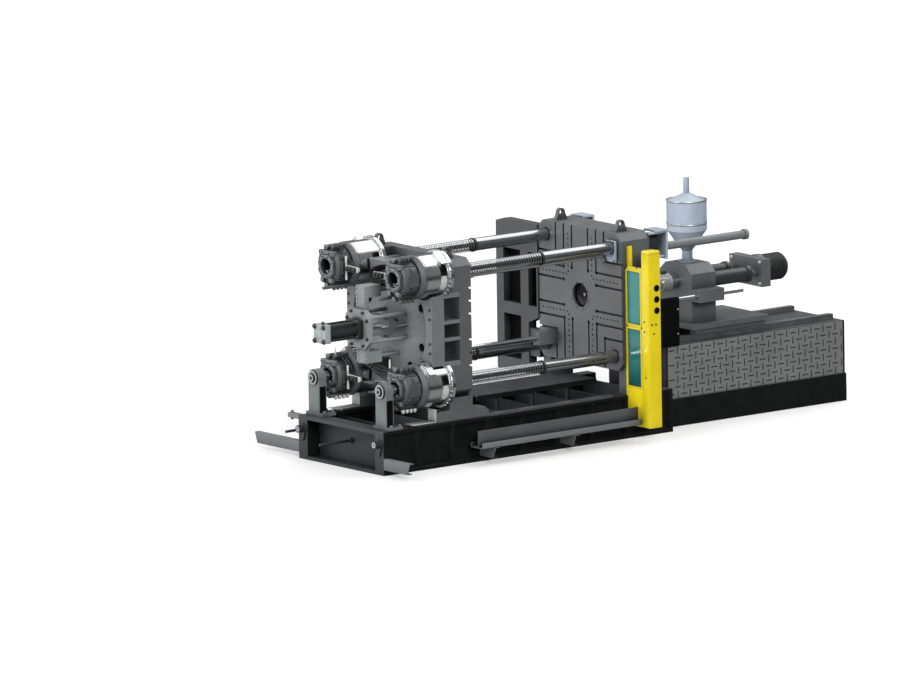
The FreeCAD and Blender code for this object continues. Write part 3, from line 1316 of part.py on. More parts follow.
def injection_carriage():
    """Carriage plate with shoes and the front housing that holds the barrel."""
    low = INJECTION_BASE_HEIGHT + RAIL_HEIGHT + RUNNING_GAP
    plate_z = (low + CARRIAGE_SHOE_HEIGHT, low + CARRIAGE_SHOE_HEIGHT + CARRIAGE_PLATE)
    shoe_x = (CARRIAGE_X[0] + CARRIAGE_SHOE_INSET, CARRIAGE_X[1] - CARRIAGE_SHOE_INSET)
    rod_z = AXIS_HEIGHT - PULL_ROD_DROP
    boss_out, boss_half = PULL_ROD_BOSS
    wide = HOUSING_HALF_WIDTH
    shoulder, top = (AXIS_HEIGHT + rise for rise in HOUSING_RISE)
    pieces = [box(CARRIAGE_X, (-CARRIAGE_HALF_WIDTH, CARRIAGE_HALF_WIDTH), plate_z)]
    pieces.append(plate_x([
        (-wide, plate_z[1]), (wide, plate_z[1]), (wide, shoulder), (HOUSING_HALF_TOP, top),
        (-HOUSING_HALF_TOP, top), (-wide, shoulder),
    ], HOUSING_X))
    for side in (-1, 1):
        shoe_y = (side * RAIL_Y - CARRIAGE_SHOE_WIDTH / 2, side * RAIL_Y + CARRIAGE_SHOE_WIDTH / 2)
        pieces.append(box(shoe_x, shoe_y, (low, plate_z[0])))
        boss_y = (side * wide, side * (PULL_ROD_Y + boss_out))
        pieces.append(box(HOUSING_X, boss_y, (rod_z - boss_half, rod_z + boss_half)))
    through = (HOUSING_X[0] - 1, HOUSING_X[1] + 1)
    tools = [rod(through, 0, AXIS_HEIGHT, BARREL_DIAMETER / 2)]
    tools += [rod(through, side * PULL_ROD_Y, rod_z, PULL_ROD_DIAMETER / 2 + BUSH_GAP) for side in (-1, 1)]
    return without(union(pieces), tools)


NOZZLE_TIP_RADIUS = 20.0
NOZZLE_RADIUS = 36.0
NOZZLE_HOLE_RADIUS = 8.0
NOZZLE_LENGTH = 140.0
NOZZLE_TAPER = 30.0
BARREL_CONE = 60.0
SCREW_CLEARANCE = 1.0


def plastic_barrel():
    """Plasticizing barrel with its nozzle, bored for the screw."""
    r = BARREL_DIAMETER / 2
    bore = SCREW_DIAMETER / 2 + SCREW_CLEARANCE
    rear = HOUSING_X[1]
    tip = NOZZLE_TIP_X
    return turned([
        (tip, NOZZLE_HOLE_RADIUS), (tip, NOZZLE_TIP_RADIUS), (tip + NOZZLE_TAPER, NOZZLE_RADIUS),
        (tip + NOZZLE_LENGTH, NOZZLE_RADIUS), (BARREL_FRONT_X - BARREL_CONE, r), (rear, r), (rear, bore),
        (BARREL_FRONT_X, bore), (BARREL_FRONT_X - bore, NOZZLE_HOLE_RADIUS),
    ], 0, AXIS_HEIGHT)


BAND_WIDTH = 150.0
BAND_COUNT = 6
BAND_PITCH = 195.0
BAND_START = 20.0             # behind the barrel's front
BAND_THICKNESS = 22.0


def heater_bands():
    """Heater bands round the barrel."""
    r = BARREL_DIAMETER / 2
    outer = r + BAND_THICKNESS
    bands = []
    for i in range(BAND_COUNT):
        x = BARREL_FRONT_X + BAND_START + i * BAND_PITCH
        end = x + BAND_WIDTH
        bands.append(turned([(x, r), (x, outer), (end, outer), (end, r)], 0, AXIS_HEIGHT))
    return bands


HOPPER_BOTTOM = AXIS_HEIGHT + HOUSING_RISE[1]
HOPPER_NECK = 70.0
HOPPER_NECK_TOP = 150.0
HOPPER_FLANGE = (50.0, 20.0)  # over the neck, and thick
HOPPER_RADIUS = 260.0
HOPPER_CONE_TOP = 420.0
HOPPER_SHELL_TOP = 800.0
HOPPER_LID_TOP = 900.0
HOPPER_TUBE_TOP = 1100.0
HOPPER_TUBE_RADIUS = 40.0


def hopper():
    """Closed round feed hopper with a flanged neck, a cone, a lid and a filling tube."""
    neck = HOPPER_NECK
    flange, thick = HOPPER_FLANGE
    profile = [
        (0, 0), (neck + flange, 0), (neck + flange, thick), (neck, thick), (neck, HOPPER_NECK_TOP),
        (HOPPER_RADIUS, HOPPER_CONE_TOP), (HOPPER_RADIUS, HOPPER_SHELL_TOP),
        (HOPPER_TUBE_RADIUS, HOPPER_LID_TOP), (HOPPER_TUBE_RADIUS, HOPPER_TUBE_TOP), (0, HOPPER_TUBE_TOP),
    ]
    wire = Part.makePolygon([V(r, 0, h) for r, h in profile + profile[:1]])
    solid = Part.Face(wire).revolve(V(0, 0, 0), V(0, 0, 1), 360)
    solid.translate(V(HOPPER_X, 0, HOPPER_BOTTOM))
    return solid


INJECTION_CYLINDER_Y = 215.0
INJECTION_CYLINDER_RADIUS = 95.0
INJECTION_CYLINDER_HEAD = 110.0
INJECTION_CYLINDER_BORE = 78.0
INJECTION_CYLINDER_SPARE = 240.0   # past the screw's travel
INJECTION_CYLINDER_FLOOR = 60.0
INJECTION_ROD_DIAMETER = 90.0
INJECTION_PISTON = (70.0, 40.0)    # behind the housing, and long


def injection_cylinders():
    """Two hydraulic cylinders behind the housing that push the screw."""
    start = HOUSING_X[1]
    end = start + SCREW_STROKE + INJECTION_CYLINDER_SPARE
    floor = INJECTION_CYLINDER_FLOOR
    r = INJECTION_CYLINDER_RADIUS
    head = INJECTION_CYLINDER_HEAD
    bore = INJECTION_CYLINDER_BORE
    rod_r = INJECTION_ROD_DIAMETER / 2 + BUSH_GAP
    outline = [
        (start, 0), (start, head), (start + 40, head), (start + 40, r), (end - 50, r), (end - 50, head),
        (end, head), (end, rod_r), (end - floor, rod_r), (end - floor, bore), (start + floor, bore),
        (start + floor, 0),
    ]
    return [turned(outline, side * INJECTION_CYLINDER_Y, AXIS_HEIGHT) for side in (-1, 1)]


DRIVE_PLATE_HALF = (340.0, 180.0)   # half its width and height
MOTOR_FLANGE = (190.0, 90.0)        # radius and length
MOTOR_RADIUS = 160.0
MOTOR_LENGTH = 460.0
MOTOR_CHAMFER = 30.0
SCREW_SOCKET = 90.0


def screw_drive():
    """Drive plate with its two piston rods, thrust housing and motor."""
    x0, x1 = DRIVE_PLATE_X
    half_y, half_z = DRIVE_PLATE_HALF
    flange_r, flange_length = MOTOR_FLANGE
    end = x1 + MOTOR_LENGTH
    plate = box((x0, x1), (-half_y, half_y), (AXIS_HEIGHT - half_z, AXIS_HEIGHT + half_z))
    motor = turned([
        (x1, 0), (x1, flange_r), (x1 + flange_length, flange_r), (x1 + flange_length, MOTOR_RADIUS),
        (end - MOTOR_CHAMFER, MOTOR_RADIUS), (end, MOTOR_RADIUS - MOTOR_CHAMFER), (end, 0),
    ], 0, AXIS_HEIGHT)
    piston_x = HOUSING_X[1] + INJECTION_PISTON[0]
    piston_end = piston_x + INJECTION_PISTON[1]
    piston_r = INJECTION_CYLINDER_BORE - 1
    rod_r = INJECTION_ROD_DIAMETER / 2
    piston = [
        (piston_x, 0), (piston_x, piston_r), (piston_end, piston_r), (piston_end, rod_r),
        (x0, rod_r), (x0, 0),
    ]
    pistons = [turned(piston, side * INJECTION_CYLINDER_Y, AXIS_HEIGHT) for side in (-1, 1)]
    socket = rod((x0 - 1, x0 + SCREW_SOCKET + 1), 0, AXIS_HEIGHT, SCREW_DIAMETER / 2 + BUSH_GAP)
    return without(union([plate, motor] + pistons), [socket])


SCREW_FLIGHT = (14.0, 16.0)   # depth and width
SCREW_TIP_LENGTH = 90.0
SCREW_TIP_GAP = 10.0


def screw():
    """Plasticizing screw: tip, core and drive shank."""
    r = SCREW_DIAMETER / 2
    depth, width = SCREW_FLIGHT
    core = r - depth
    tip = BARREL_FRONT_X - SCREW_TIP_GAP
    shank = HOUSING_X[1] - INJECTION_CYLINDER_FLOOR
    rear = DRIVE_PLATE_X[0] + SCREW_SOCKET
    outline = [(tip, 0), (tip + SCREW_TIP_LENGTH, core - 2), (tip + SCREW_TIP_LENGTH, core)]
    x = tip + SCREW_TIP_LENGTH + 20
    while x < HOPPER_X + 40:
        outline += [(x, core), (x, r), (x + width, r), (x + width, core)]
        x += SCREW_DIAMETER * 2
    outline += [(shank, core), (shank, r), (rear, r), (rear, 0)]
    return turned(outline, 0, AXIS_HEIGHT)


JUNCTION_X = (800.0, 1120.0)
JUNCTION_DEPTH = 70.0
JUNCTION_TOP = 1680.0


def junction_box():
    """Dark cabinet on the near side, over the injection base."""
    outer = INJECTION_BASE_WIDTH / 2
    return box(JUNCTION_X, (-outer, JUNCTION_DEPTH - outer), (INJECTION_BASE_HEIGHT, JUNCTION_TOP))


# ---------------------------------------------------------------- build

os.makedirs("parts", exist_ok=True)

save("base_beams", [base_beam(-1), base_beam(1)])
save("base_end_channel", end_channel())
save("base_cross_plates", cross_plates())
save("way_strips", way_strips() + carriage_rails())
save("mould_deck", mould_deck())
save("outrigger_channels", [outrigger(x, side, length) for x, side, length in OUTRIGGERS] + [corner_step()])
save("side_gutter", side_gutter())
save("base_end_fittings", [lifting_trunnion(-1), lifting_trunnion(1)] + drain_pipes())
save("tie_bar_pedestals", [pedestal(-1), pedestal(1)])
save("upper_tie_bars", [tie_bar(-BAR_Y, UPPER_Z, False), tie_bar(BAR_Y, UPPER_Z, False)])
save("lower_tie_bars", [tie_bar(-BAR_Y, LOWER_Z, True), tie_bar(BAR_Y, LOWER_Z, True)])
save("tie_bar_nuts", [shape for y, z in CORNERS.values() for shape in (bar_nut(y, z), bar_ring(y, z))] + [
    pedestal_cap(-1), pedestal_cap(1)])
save("fixed_mould_plate", fixed_mould_plate())
save("locating_insert", locating_insert())
save("fixed_platen", fixed_platen())
save("fixed_platen_lugs", [lifting_lug(FIXED_LUG_X, side * FIXED_LUG_Y, PLATEN_TOP) for side in (-1, 1)])
save("bar_pullers", [bar_puller(-1), bar_puller(1)])
save("traverse_supports", [
    shape for y, z, sign in traverse_places()
    for shape in (traverse_bracket(y, z, sign), traverse_stay(y, z))])
save("traverse_barrels", [traverse_barrel(y, z) for y, z, _ in traverse_places()])
save("far_guard_frame", far_guard())
save("guard_column", guard_column())
save("guard_frame", union([guard_frame(), guard_post()]))
save("guard_windows", guard_windows())
save("guard_grommets", grommets())

save("moving_platen", moving_platen())
save("platen_rear_casting", platen_rear_casting())
save("platen_shoes", [platen_shoe(-1), platen_shoe(1)])
save("clamp_cylinders", [drum(y, z) for y, z in CORNERS.values()])
save("clamp_cylinder_covers", [drum_cover(y, z) for y, z in CORNERS.values()])
save("cylinder_port_blocks", [port_block(y, z) for y, z in CORNERS.values()])
save("moving_platen_lugs", [
    lifting_lug(MOVING_FACE_X - MOVING_LUG_SETBACK, side * BAR_Y, PLATEN_TOP) for side in (-1, 1)])
save("traverse_rods", [union([traverse_rod(y, z), traverse_fitting(y, z)]) for y, z, _ in traverse_places()])
save("ejector_frame", ejector_frame())
save("ejector_guide_rods", ejector_guides())
save("ejector_cylinder", ejector_cylinder())
save("valve_manifolds", manifolds())
save("ejector_crosshead", ejector_crosshead())

for corner, (y, z) in CORNERS.items():
    save("lock_unit_" + corner, lock_unit(y, z))
    save("half_nut_" + corner + "_top", half_nut(y, z, 1))
    save("half_nut_" + corner + "_bottom", half_nut(y, z, -1))

save("injection_base", injection_base())
save("tread_covers", tread_covers())
save("carriage_pull_rods", pull_rods())
save("injection_carriage", injection_carriage())
save("plastic_barrel", plastic_barrel())
save("heater_bands", heater_bands())
save("feed_hopper", hopper())
save("injection_cylinders", injection_cylinders())
save("screw_drive", screw_drive())
save("plastic_screw", screw())
save("junction_box", junction_box())
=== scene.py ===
import math

import bmesh
import bpy
from bpy.props import FloatProperty, FloatVectorProperty, PointerProperty
from mathutils import Matrix, Vector


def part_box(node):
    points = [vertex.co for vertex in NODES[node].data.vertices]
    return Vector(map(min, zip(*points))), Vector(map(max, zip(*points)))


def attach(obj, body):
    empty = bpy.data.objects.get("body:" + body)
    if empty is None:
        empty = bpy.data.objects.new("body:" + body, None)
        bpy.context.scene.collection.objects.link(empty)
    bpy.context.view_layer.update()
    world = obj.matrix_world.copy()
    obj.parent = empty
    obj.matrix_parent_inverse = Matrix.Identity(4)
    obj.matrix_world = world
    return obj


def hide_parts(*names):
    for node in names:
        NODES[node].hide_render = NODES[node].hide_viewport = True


bl_info = {
    "name": "Two-platen moulding machine",
    "version": (1, 0, 0),
    "blender": (4, 5, 0),
    "location": "3D View > Sidebar > Machine",
    "description": "Dresses the packed frame of a two-platen injection moulding machine",
    "category": "Object",
}

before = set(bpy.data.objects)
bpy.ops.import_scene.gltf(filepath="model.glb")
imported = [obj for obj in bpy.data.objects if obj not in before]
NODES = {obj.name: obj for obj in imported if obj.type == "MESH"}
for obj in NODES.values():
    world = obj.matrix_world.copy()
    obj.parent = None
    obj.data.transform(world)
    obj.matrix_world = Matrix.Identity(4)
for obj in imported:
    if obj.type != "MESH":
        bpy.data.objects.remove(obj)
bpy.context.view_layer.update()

# ---------------------------------------------------------------- places taken from the frame


def middle(node):
    """Middle of a node's box."""
    low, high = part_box(node)
    return (low + high) / 2


UPPER_LOW, UPPER_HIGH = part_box("upper_tie_bars")
DRUMS_LOW, DRUMS_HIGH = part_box("clamp_cylinders")
DECK_LOW, DECK_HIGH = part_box("mould_deck")
BASE_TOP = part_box("base_beams")[1].z
UNIT_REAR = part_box("lock_unit_upper_near")[0].x
UPPER_Z = middle("upper_tie_bars").z
LOWER_Z = middle("lower_tie_bars").z
AXIS_Z = (UPPER_Z + LOWER_Z) / 2
RING_RADIUS = (UPPER_HIGH.z - UPPER_LOW.z) / 2
BAR_RADIUS = RING_RADIUS - 0.0047
BAR_Y = (UPPER_HIGH.y - UPPER_LOW.y) / 2 - RING_RADIUS
CORNERS = {
    "upper_near": (-BAR_Y, UPPER_Z),
    "upper_far": (BAR_Y, UPPER_Z),
    "lower_near": (-BAR_Y, LOWER_Z),
    "lower_far": (BAR_Y, LOWER_Z),
}
SIDES = ((-1, "near"), (1, "far"))
SIGNS = [(a, b) for a in (-1, 1) for b in (-1, 1)]
FRONT, REAR, UP, DOWN, NEAR = (1, 0, 0), (-1, 0, 0), (0, 0, 1), (0, 0, -1), (0, -1, 0)
FULL_TURN = 2 * math.pi

# ---------------------------------------------------------------- places on the nodes, in metres and degrees

BAR_SIDES = 48
GROOVE_FRONT, GROOVE_LIMIT = -1.208, -2.49
GROOVE_LAND, GROOVE_SLOPE, GROOVE_BOTTOM = 0.52, 0.08, 0.32     # shares of the pitch
JOURNAL_FRONT, JOURNAL_RADIUS, JOURNAL_STEP = -3.19, 0.07, 0.018
NUT_START, NUT_GAP = 0.036, 0.0008

HOLE_ROW, HOLE_START, HOLES_IN_ROW, HOLE_LEFT_OUT = 0.245, 0.28, 8, 0.49
SLOT_ENDS = ((0.167, 0.334), (0.334, 0.334), (0.501, 0.501))    # offset of a slot and where it starts
BIT_REACH = 0.03
BORE_SEAT = -0.003

DRUM_SKIN, DRUM_PLATE_X, DRUM_PLATE_LENGTH = 0.2853, -3.013, 0.095
UNIT_FRONT = -3.3093
UNIT_BANDS = (-3.472, -3.345)
RIB_ANGLES = (40, 58, 122, 140, 220, 238, 302, 320)
ACTUATOR_TOP = 0.251
UNIT_FLANK = 0.249

YOKE_FACE, BRIDGE_FACE, EJECTOR_REAR, EJECTOR_NECK = -3.618, -3.558, -4.229, -3.699
CAP_HALF, TIE_OFFSET = 0.1215, 0.094
DISH_X, DISH_HOLE_CIRCLE, DISH_HOLE_RADIUS = -3.002, 0.6, 0.0545
DISH_HOLES = (25, 120, 155, 205, 240, 335)
VALVE_ROW_Y, VALVE_ROW_Z = 0.24, 0.53

PEDESTAL_HALF = 0.110
TRUNNION_END = -3.999
DECK_SEAMS = (DECK_LOW.x + 0.004, -1.322, -0.672, DECK_HIGH.x)
WINDOW_SPLIT = (1.440, 1.510)
PLUG_HEIGHTS = (1.710, 1.855, 2.000)
FAR_OPENINGS = (                                                # Y and Z of each opening
    ((1.219, 1.574), (1.493, 2.196)),
    ((1.219, 1.574), (0.765, 1.337)),
    ((0.885, 1.055), (1.493, 2.196)),
)
BAR_END_PLATE = ((-0.052, -0.795, 2.290), (-0.014, -0.605, 2.566))

HEATER_BANDS, HEATER_START, HEATER_PITCH = 6, 0.310, 0.195
CYLINDER_END, DRIVE_PLATE = 2.580, 2.720

# ---------------------------------------------------------------- modelling helpers

TURNS = {"X": (0, math.pi / 2, 0), "Y": (-math.pi / 2, 0, 0), "Z": (0, 0, 0)}
ALONG = {"X": Vector((1, 0, 0)), "Y": Vector((0, 1, 0)), "Z": Vector((0, 0, 1))}


def clear():
    """Go back to object mode with nothing selected."""
    if bpy.context.object and bpy.context.object.mode != "OBJECT":
        bpy.ops.object.mode_set(mode="OBJECT")
    bpy.ops.object.select_all(action="DESELECT")


def pick(*pieces):
    """Select just these pieces. The first is the active one."""
    clear()
    for piece in pieces:
        piece.select_set(True)
    bpy.context.view_layer.objects.active = pieces[0]


def settle(piece, name):
    """Name a piece and move its place into its mesh."""
    pick(piece)
    bpy.ops.object.transform_apply(location=True, rotation=True, scale=True)
    piece.name = name
    piece.data.name = name
    return piece


def block(name, corner, opposite):
    """A block between two opposite corners."""
    clear()
    low = Vector(tuple(map(min, corner, opposite)))
    high = Vector(tuple(map(max, corner, opposite)))
    bpy.ops.mesh.primitive_cube_add(size=1, location=(low + high) / 2, scale=high - low)
    return settle(bpy.context.object, name)


def bar(name, start, length, radius, axis="X", sides=32):
    """A round bar from a point along an axis."""
    clear()
    place = Vector(start) + ALONG[axis] * (length / 2)
    bpy.ops.mesh.primitive_cylinder_add(
        vertices=sides, radius=radius, depth=abs(length), location=place, rotation=TURNS[axis])
    return settle(bpy.context.object, name)


def ring(name, start, length, outer, inner, axis="X", sides=48):
    """A tube: a round bar whose ends are inset and joined through."""
    piece = bar(name, start, length, outer, axis, sides)
    direction = ALONG[axis]
    edit(piece, lambda c, n: abs(n.dot(direction)) > 0.9)
    bpy.ops.mesh.inset(thickness=outer - inner, use_even_offset=False)
    bpy.ops.mesh.bridge_edge_loops()
    clear()
    return tidy(piece)


def edit(piece, test):
    """Open a piece in edit mode with the faces picked that pass a test of place and direction."""
    pick(piece)
    bpy.ops.object.mode_set(mode="EDIT")
    bpy.ops.mesh.select_mode(type="FACE")
    bpy.ops.mesh.select_all(action="DESELECT")
    mesh = bmesh.from_edit_mesh(piece.data)
    for face in mesh.faces:
        face.select_set(bool(test(face.calc_center_median(), face.normal)))
    mesh.select_flush_mode()
    bmesh.update_edit_mesh(piece.data)


def edit_side(piece, way):
    """Open a piece in edit mode with the faces picked that look one way."""
    direction = Vector(way)
    edit(piece, lambda c, n: n.dot(direction) > 0.9)
    return direction


def extrude(step):
    """Pull the picked faces out by a step."""
    bpy.ops.mesh.extrude_region_move(TRANSFORM_OT_translate={"value": tuple(step)})


def inset(piece, way, *steps):
    """Step the faces that look one way. A step is a width, a slope and a straight pull."""
    direction = edit_side(piece, way)
    for width, slope, pull in steps:
        bpy.ops.mesh.inset(thickness=width, depth=slope)
        if pull:
            extrude(direction * pull)
    clear()
    return piece


def narrowed(piece, way, scale, pull=0.0):
    """Pull out the faces that look one way and scale them about their own middle."""
    direction = edit_side(piece, way)
    if pull:
        extrude(direction * pull)
    bpy.ops.transform.resize(value=scale)
    clear()
    return piece


def opened(piece, way):
    """Take away the faces that look one way."""
    edit_side(piece, way)
    bpy.ops.mesh.delete(type="ONLY_FACE")
    clear()
    return piece


def bevel(piece, width, segments=2, angle=35):
    """Round a piece's sharp edges and apply the modifier."""
    pick(piece)
    modifier = piece.modifiers.new("edges", "BEVEL")
    modifier.width = width
    modifier.segments = segments
    modifier.limit_method = "ANGLE"
    modifier.angle_limit = math.radians(angle)
    bpy.ops.object.modifier_apply(modifier=modifier.name)
    return piece


def tidy(piece, gap=1e-5):
    """Merge doubled points and turn all faces outwards."""
    pick(piece)
    bpy.ops.object.mode_set(mode="EDIT")
    bpy.ops.mesh.select_all(action="SELECT")
    bpy.ops.mesh.remove_doubles(threshold=gap)
    bpy.ops.mesh.normals_make_consistent(inside=False)
    bpy.ops.object.mode_set(mode="OBJECT")
    return piece


def cut(piece, tool):
    """Take a tool's shape out of a piece."""
    pick(piece)
    modifier = piece.modifiers.new("cut", "BOOLEAN")
    modifier.operation = "DIFFERENCE"
    modifier.solver = "EXACT"
    modifier.object = tool
    bpy.ops.object.modifier_apply(modifier=modifier.name)
    bpy.data.objects.remove(tool)
    return piece


def row(piece, count, step):
    """Repeat a piece in a row and apply the modifier."""
    pick(piece)
    modifier = piece.modifiers.new("row", "ARRAY")
    modifier.count = count
    modifier.use_relative_offset = False
    modifier.use_constant_offset = True
    modifier.constant_offset_displace = step
    bpy.ops.object.modifier_apply(modifier=modifier.name)
    return piece


def joined(name, *pieces):
    """Join pieces into one."""
    pick(*pieces)
    if len(pieces) > 1:
        bpy.ops.object.join()
    piece = bpy.context.object
    piece.name = name
    piece.data.name = name
    return piece


def facing(place, direction):
    """Matrix that puts a piece modelled upright at the origin onto a face."""
    turn = Vector(UP).rotation_difference(Vector(direction))
    return Matrix.Translation(Vector(place)) @ turn.to_matrix().to_4x4()


def copies(name, master, matrices):
    """Copies of a master at the given places, joined into one piece. The master is used up."""
    made = []
    for matrix in matrices:
        copy = bpy.data.objects.new(name, master.data.copy())
        copy.data.transform(matrix)
        bpy.context.collection.objects.link(copy)
        made.append(copy)
    bpy.data.objects.remove(master)
    return joined(name, *made)


def whole_copy(node, name):
    """A copy of a node's mesh with its triangles merged into one skin."""
    piece = bpy.data.objects.new(name, NODES[node].data.copy())
    bpy.context.collection.objects.link(piece)
    pick(piece)
    if piece.data.has_custom_normals:
        bpy.ops.mesh.customdata_custom_splitnormals_clear()
    bpy.ops.object.mode_set(mode="EDIT")
    bpy.ops.mesh.select_all(action="SELECT")
    bpy.ops.mesh.remove_doubles(threshold=1e-5)
    bpy.ops.mesh.tris_convert_to_quads()
    bpy.ops.object.mode_set(mode="OBJECT")
    return piece


def circle_places(centre, radius, count, start=0.0):
    """Points on a circle square to X."""
    centre = Vector(centre)
    angles = [start + FULL_TURN * i / count for i in range(count)]
    return [centre + Vector((0, radius * math.cos(a), radius * math.sin(a))) for a in angles]


def four(x, across, up):
    """Four points round the middle of the platens."""
    return [(x, a * across, AXIS_Z + b * up) for a, b in SIGNS]


def done(piece, body, slot, finish=None, angle=35):
    """Shade a piece smooth but for its edges, give it its finish and let it ride on its body."""
    pick(piece)
    bpy.ops.object.shade_smooth_by_angle(angle=math.radians(angle))
    piece.data.materials.clear()
    piece.data.materials.append(FINISHES[finish or slot])
    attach(piece, body)
    return piece


def collar(name, start, length, outer, inner, body, slot, finish=None, soft=0.002, sides=72):
    """A finished ring round X with soft edges."""
    return done(bevel(ring(name, start, length, outer, inner, "X", sides), soft), body, slot, finish)


def plate(name, low, high, way, step, soft, body, slot, finish=None):
    """A finished block with one stepped face and soft edges."""
    return done(bevel(inset(block(name, low, high), way, step), soft), body, slot, finish)


def cap_screw(radius, height):
    """Socket head cap screw, upright on the origin."""
    return inset(bar("screw", (0, 0, 0), height, radius, "Z", 18), UP,
                 (radius * 0.12, radius * 0.1, 0), (radius * 0.34, 0, -height * 0.55))


def hex_bolt(radius, height):
    """Hexagon bolt head on its washer, upright on the origin."""
    head = narrowed(bar("bolt", (0, 0, 0), height, radius, "Z", 6), UP, (0.84, 0.84, 1), height * 0.14)
    washer = bar("washer", (0, 0, 0), height * 0.2, radius * 1.3, "Z", 20)
    return joined("bolt", head, inset(washer, UP, (radius * 0.08, height * 0.05, 0)))


def screws(name, places, direction, radius, height, body, slot="dark_steel", finish=None, head=cap_screw):
    """A group of like screws on one face."""
    piece = copies(name, head(radius, height), [facing(p, direction) for p in places])
    return done(piece, body, slot, finish)


def side_screws(name, y, z, radius, side, spots, size, body):
    """Small screws on one side of a cylinder, each at degrees above its middle and an X."""
    places = []
    for degrees, x in spots:
        across, up = side * math.cos(math.radians(degrees)), math.sin(math.radians(degrees))
        places.append(facing((x, y + radius * across, z + radius * up), (0, across, up)))
    return done(copies(name, cap_screw(*size), places), body, "dark_steel")


def curved_plate(name, start, length, radius, between, thickness, side=-1):
    """Thin plate bent round one side of a cylinder, between two angles in degrees above its middle."""
    y, z = start[1:]
    piece = bar(name, start, length, radius, "X", 120)
    low, high = (math.radians(a) for a in between)
    edit(piece, lambda c, n: abs(n.x) > 0.5 or not low < math.atan2(c.z - z, side * (c.y - y)) < high)
    bpy.ops.mesh.delete(type="FACE")
    clear()
    pick(piece)
    shell = piece.modifiers.new("wall", "SOLIDIFY")
    shell.thickness = thickness
    shell.offset = 1
    bpy.ops.object.modifier_apply(modifier=shell.name)
    return tidy(piece)


def pipe(name, points, radius, bend=0.04):
    """A pipe or hose through points, with bent corners."""
    clear()
    bpy.ops.mesh.primitive_plane_add(size=0.01, location=Vector(points[0]))
    piece = settle(bpy.context.object, name)
    bpy.ops.object.mode_set(mode="EDIT")
    bpy.ops.mesh.select_all(action="SELECT")
    bpy.ops.mesh.merge(type="CENTER")
    bpy.ops.mesh.select_mode(type="VERT")
    bpy.ops.mesh.select_all(action="SELECT")
    for a, b in zip(points, points[1:]):
        extrude(Vector(b) - Vector(a))
    bpy.ops.object.mode_set(mode="OBJECT")
    inner = set(tuple(round(v, 4) for v in p) for p in points[1:-1])
    bpy.ops.object.mode_set(mode="EDIT")
    mesh = bmesh.from_edit_mesh(piece.data)
    for vertex in mesh.verts:
        vertex.select_set(tuple(round(v, 4) for v in vertex.co) in inner)
    bmesh.update_edit_mesh(piece.data)
    bpy.ops.mesh.bevel(offset=bend, segments=4, affect="VERTICES")
    bpy.ops.object.mode_set(mode="OBJECT")
    bpy.ops.object.convert(target="CURVE")
    curve = bpy.context.object.data
    curve.dimensions = "3D"
    curve.bevel_depth = radius
    curve.bevel_resolution = 1
    curve.use_fill_caps = True
    bpy.ops.object.convert(target="MESH")
    piece = bpy.context.object
    piece.name = name
    piece.data.name = name
    return tidy(piece)


# ---------------------------------------------------------------- finishes


class Nodes:
    """A node tree while it is put together."""

    def __init__(self, tree):
        self.tree = tree

    def add(self, kind, inputs=None, **settings):
        """A new node with its settings and inputs."""
        made = self.tree.nodes.new(kind)
        for key, value in settings.items():
            setattr(made, key, value)
        self.feed(made, inputs or {})
        return made

    def feed(self, node, inputs):
        """Set a node's inputs, or link them to what other nodes give."""
        for key, value in inputs.items():
            if hasattr(value, "node"):
                self.tree.links.new(value, node.inputs[key])
            else:
                node.inputs[key].default_value = value

    def part(self, vector, axis):
        """One axis of a place or a direction."""
        return self.add("ShaderNodeSeparateXYZ", {"Vector": vector}).outputs[axis]

    def spread(self, value, low, high, to_low, to_high, **settings):
        """Move a value from one range to another."""
        inputs = {"Value": value, "From Min": low, "From Max": high, "To Min": to_low, "To Max": to_high}
        return self.add("ShaderNodeMapRange", inputs, **settings).outputs["Result"]

    def dot(self, a, b):
        """How far two directions agree."""
        return self.add("ShaderNodeVectorMath", {0: a, 1: b}, operation="DOT_PRODUCT").outputs["Value"]


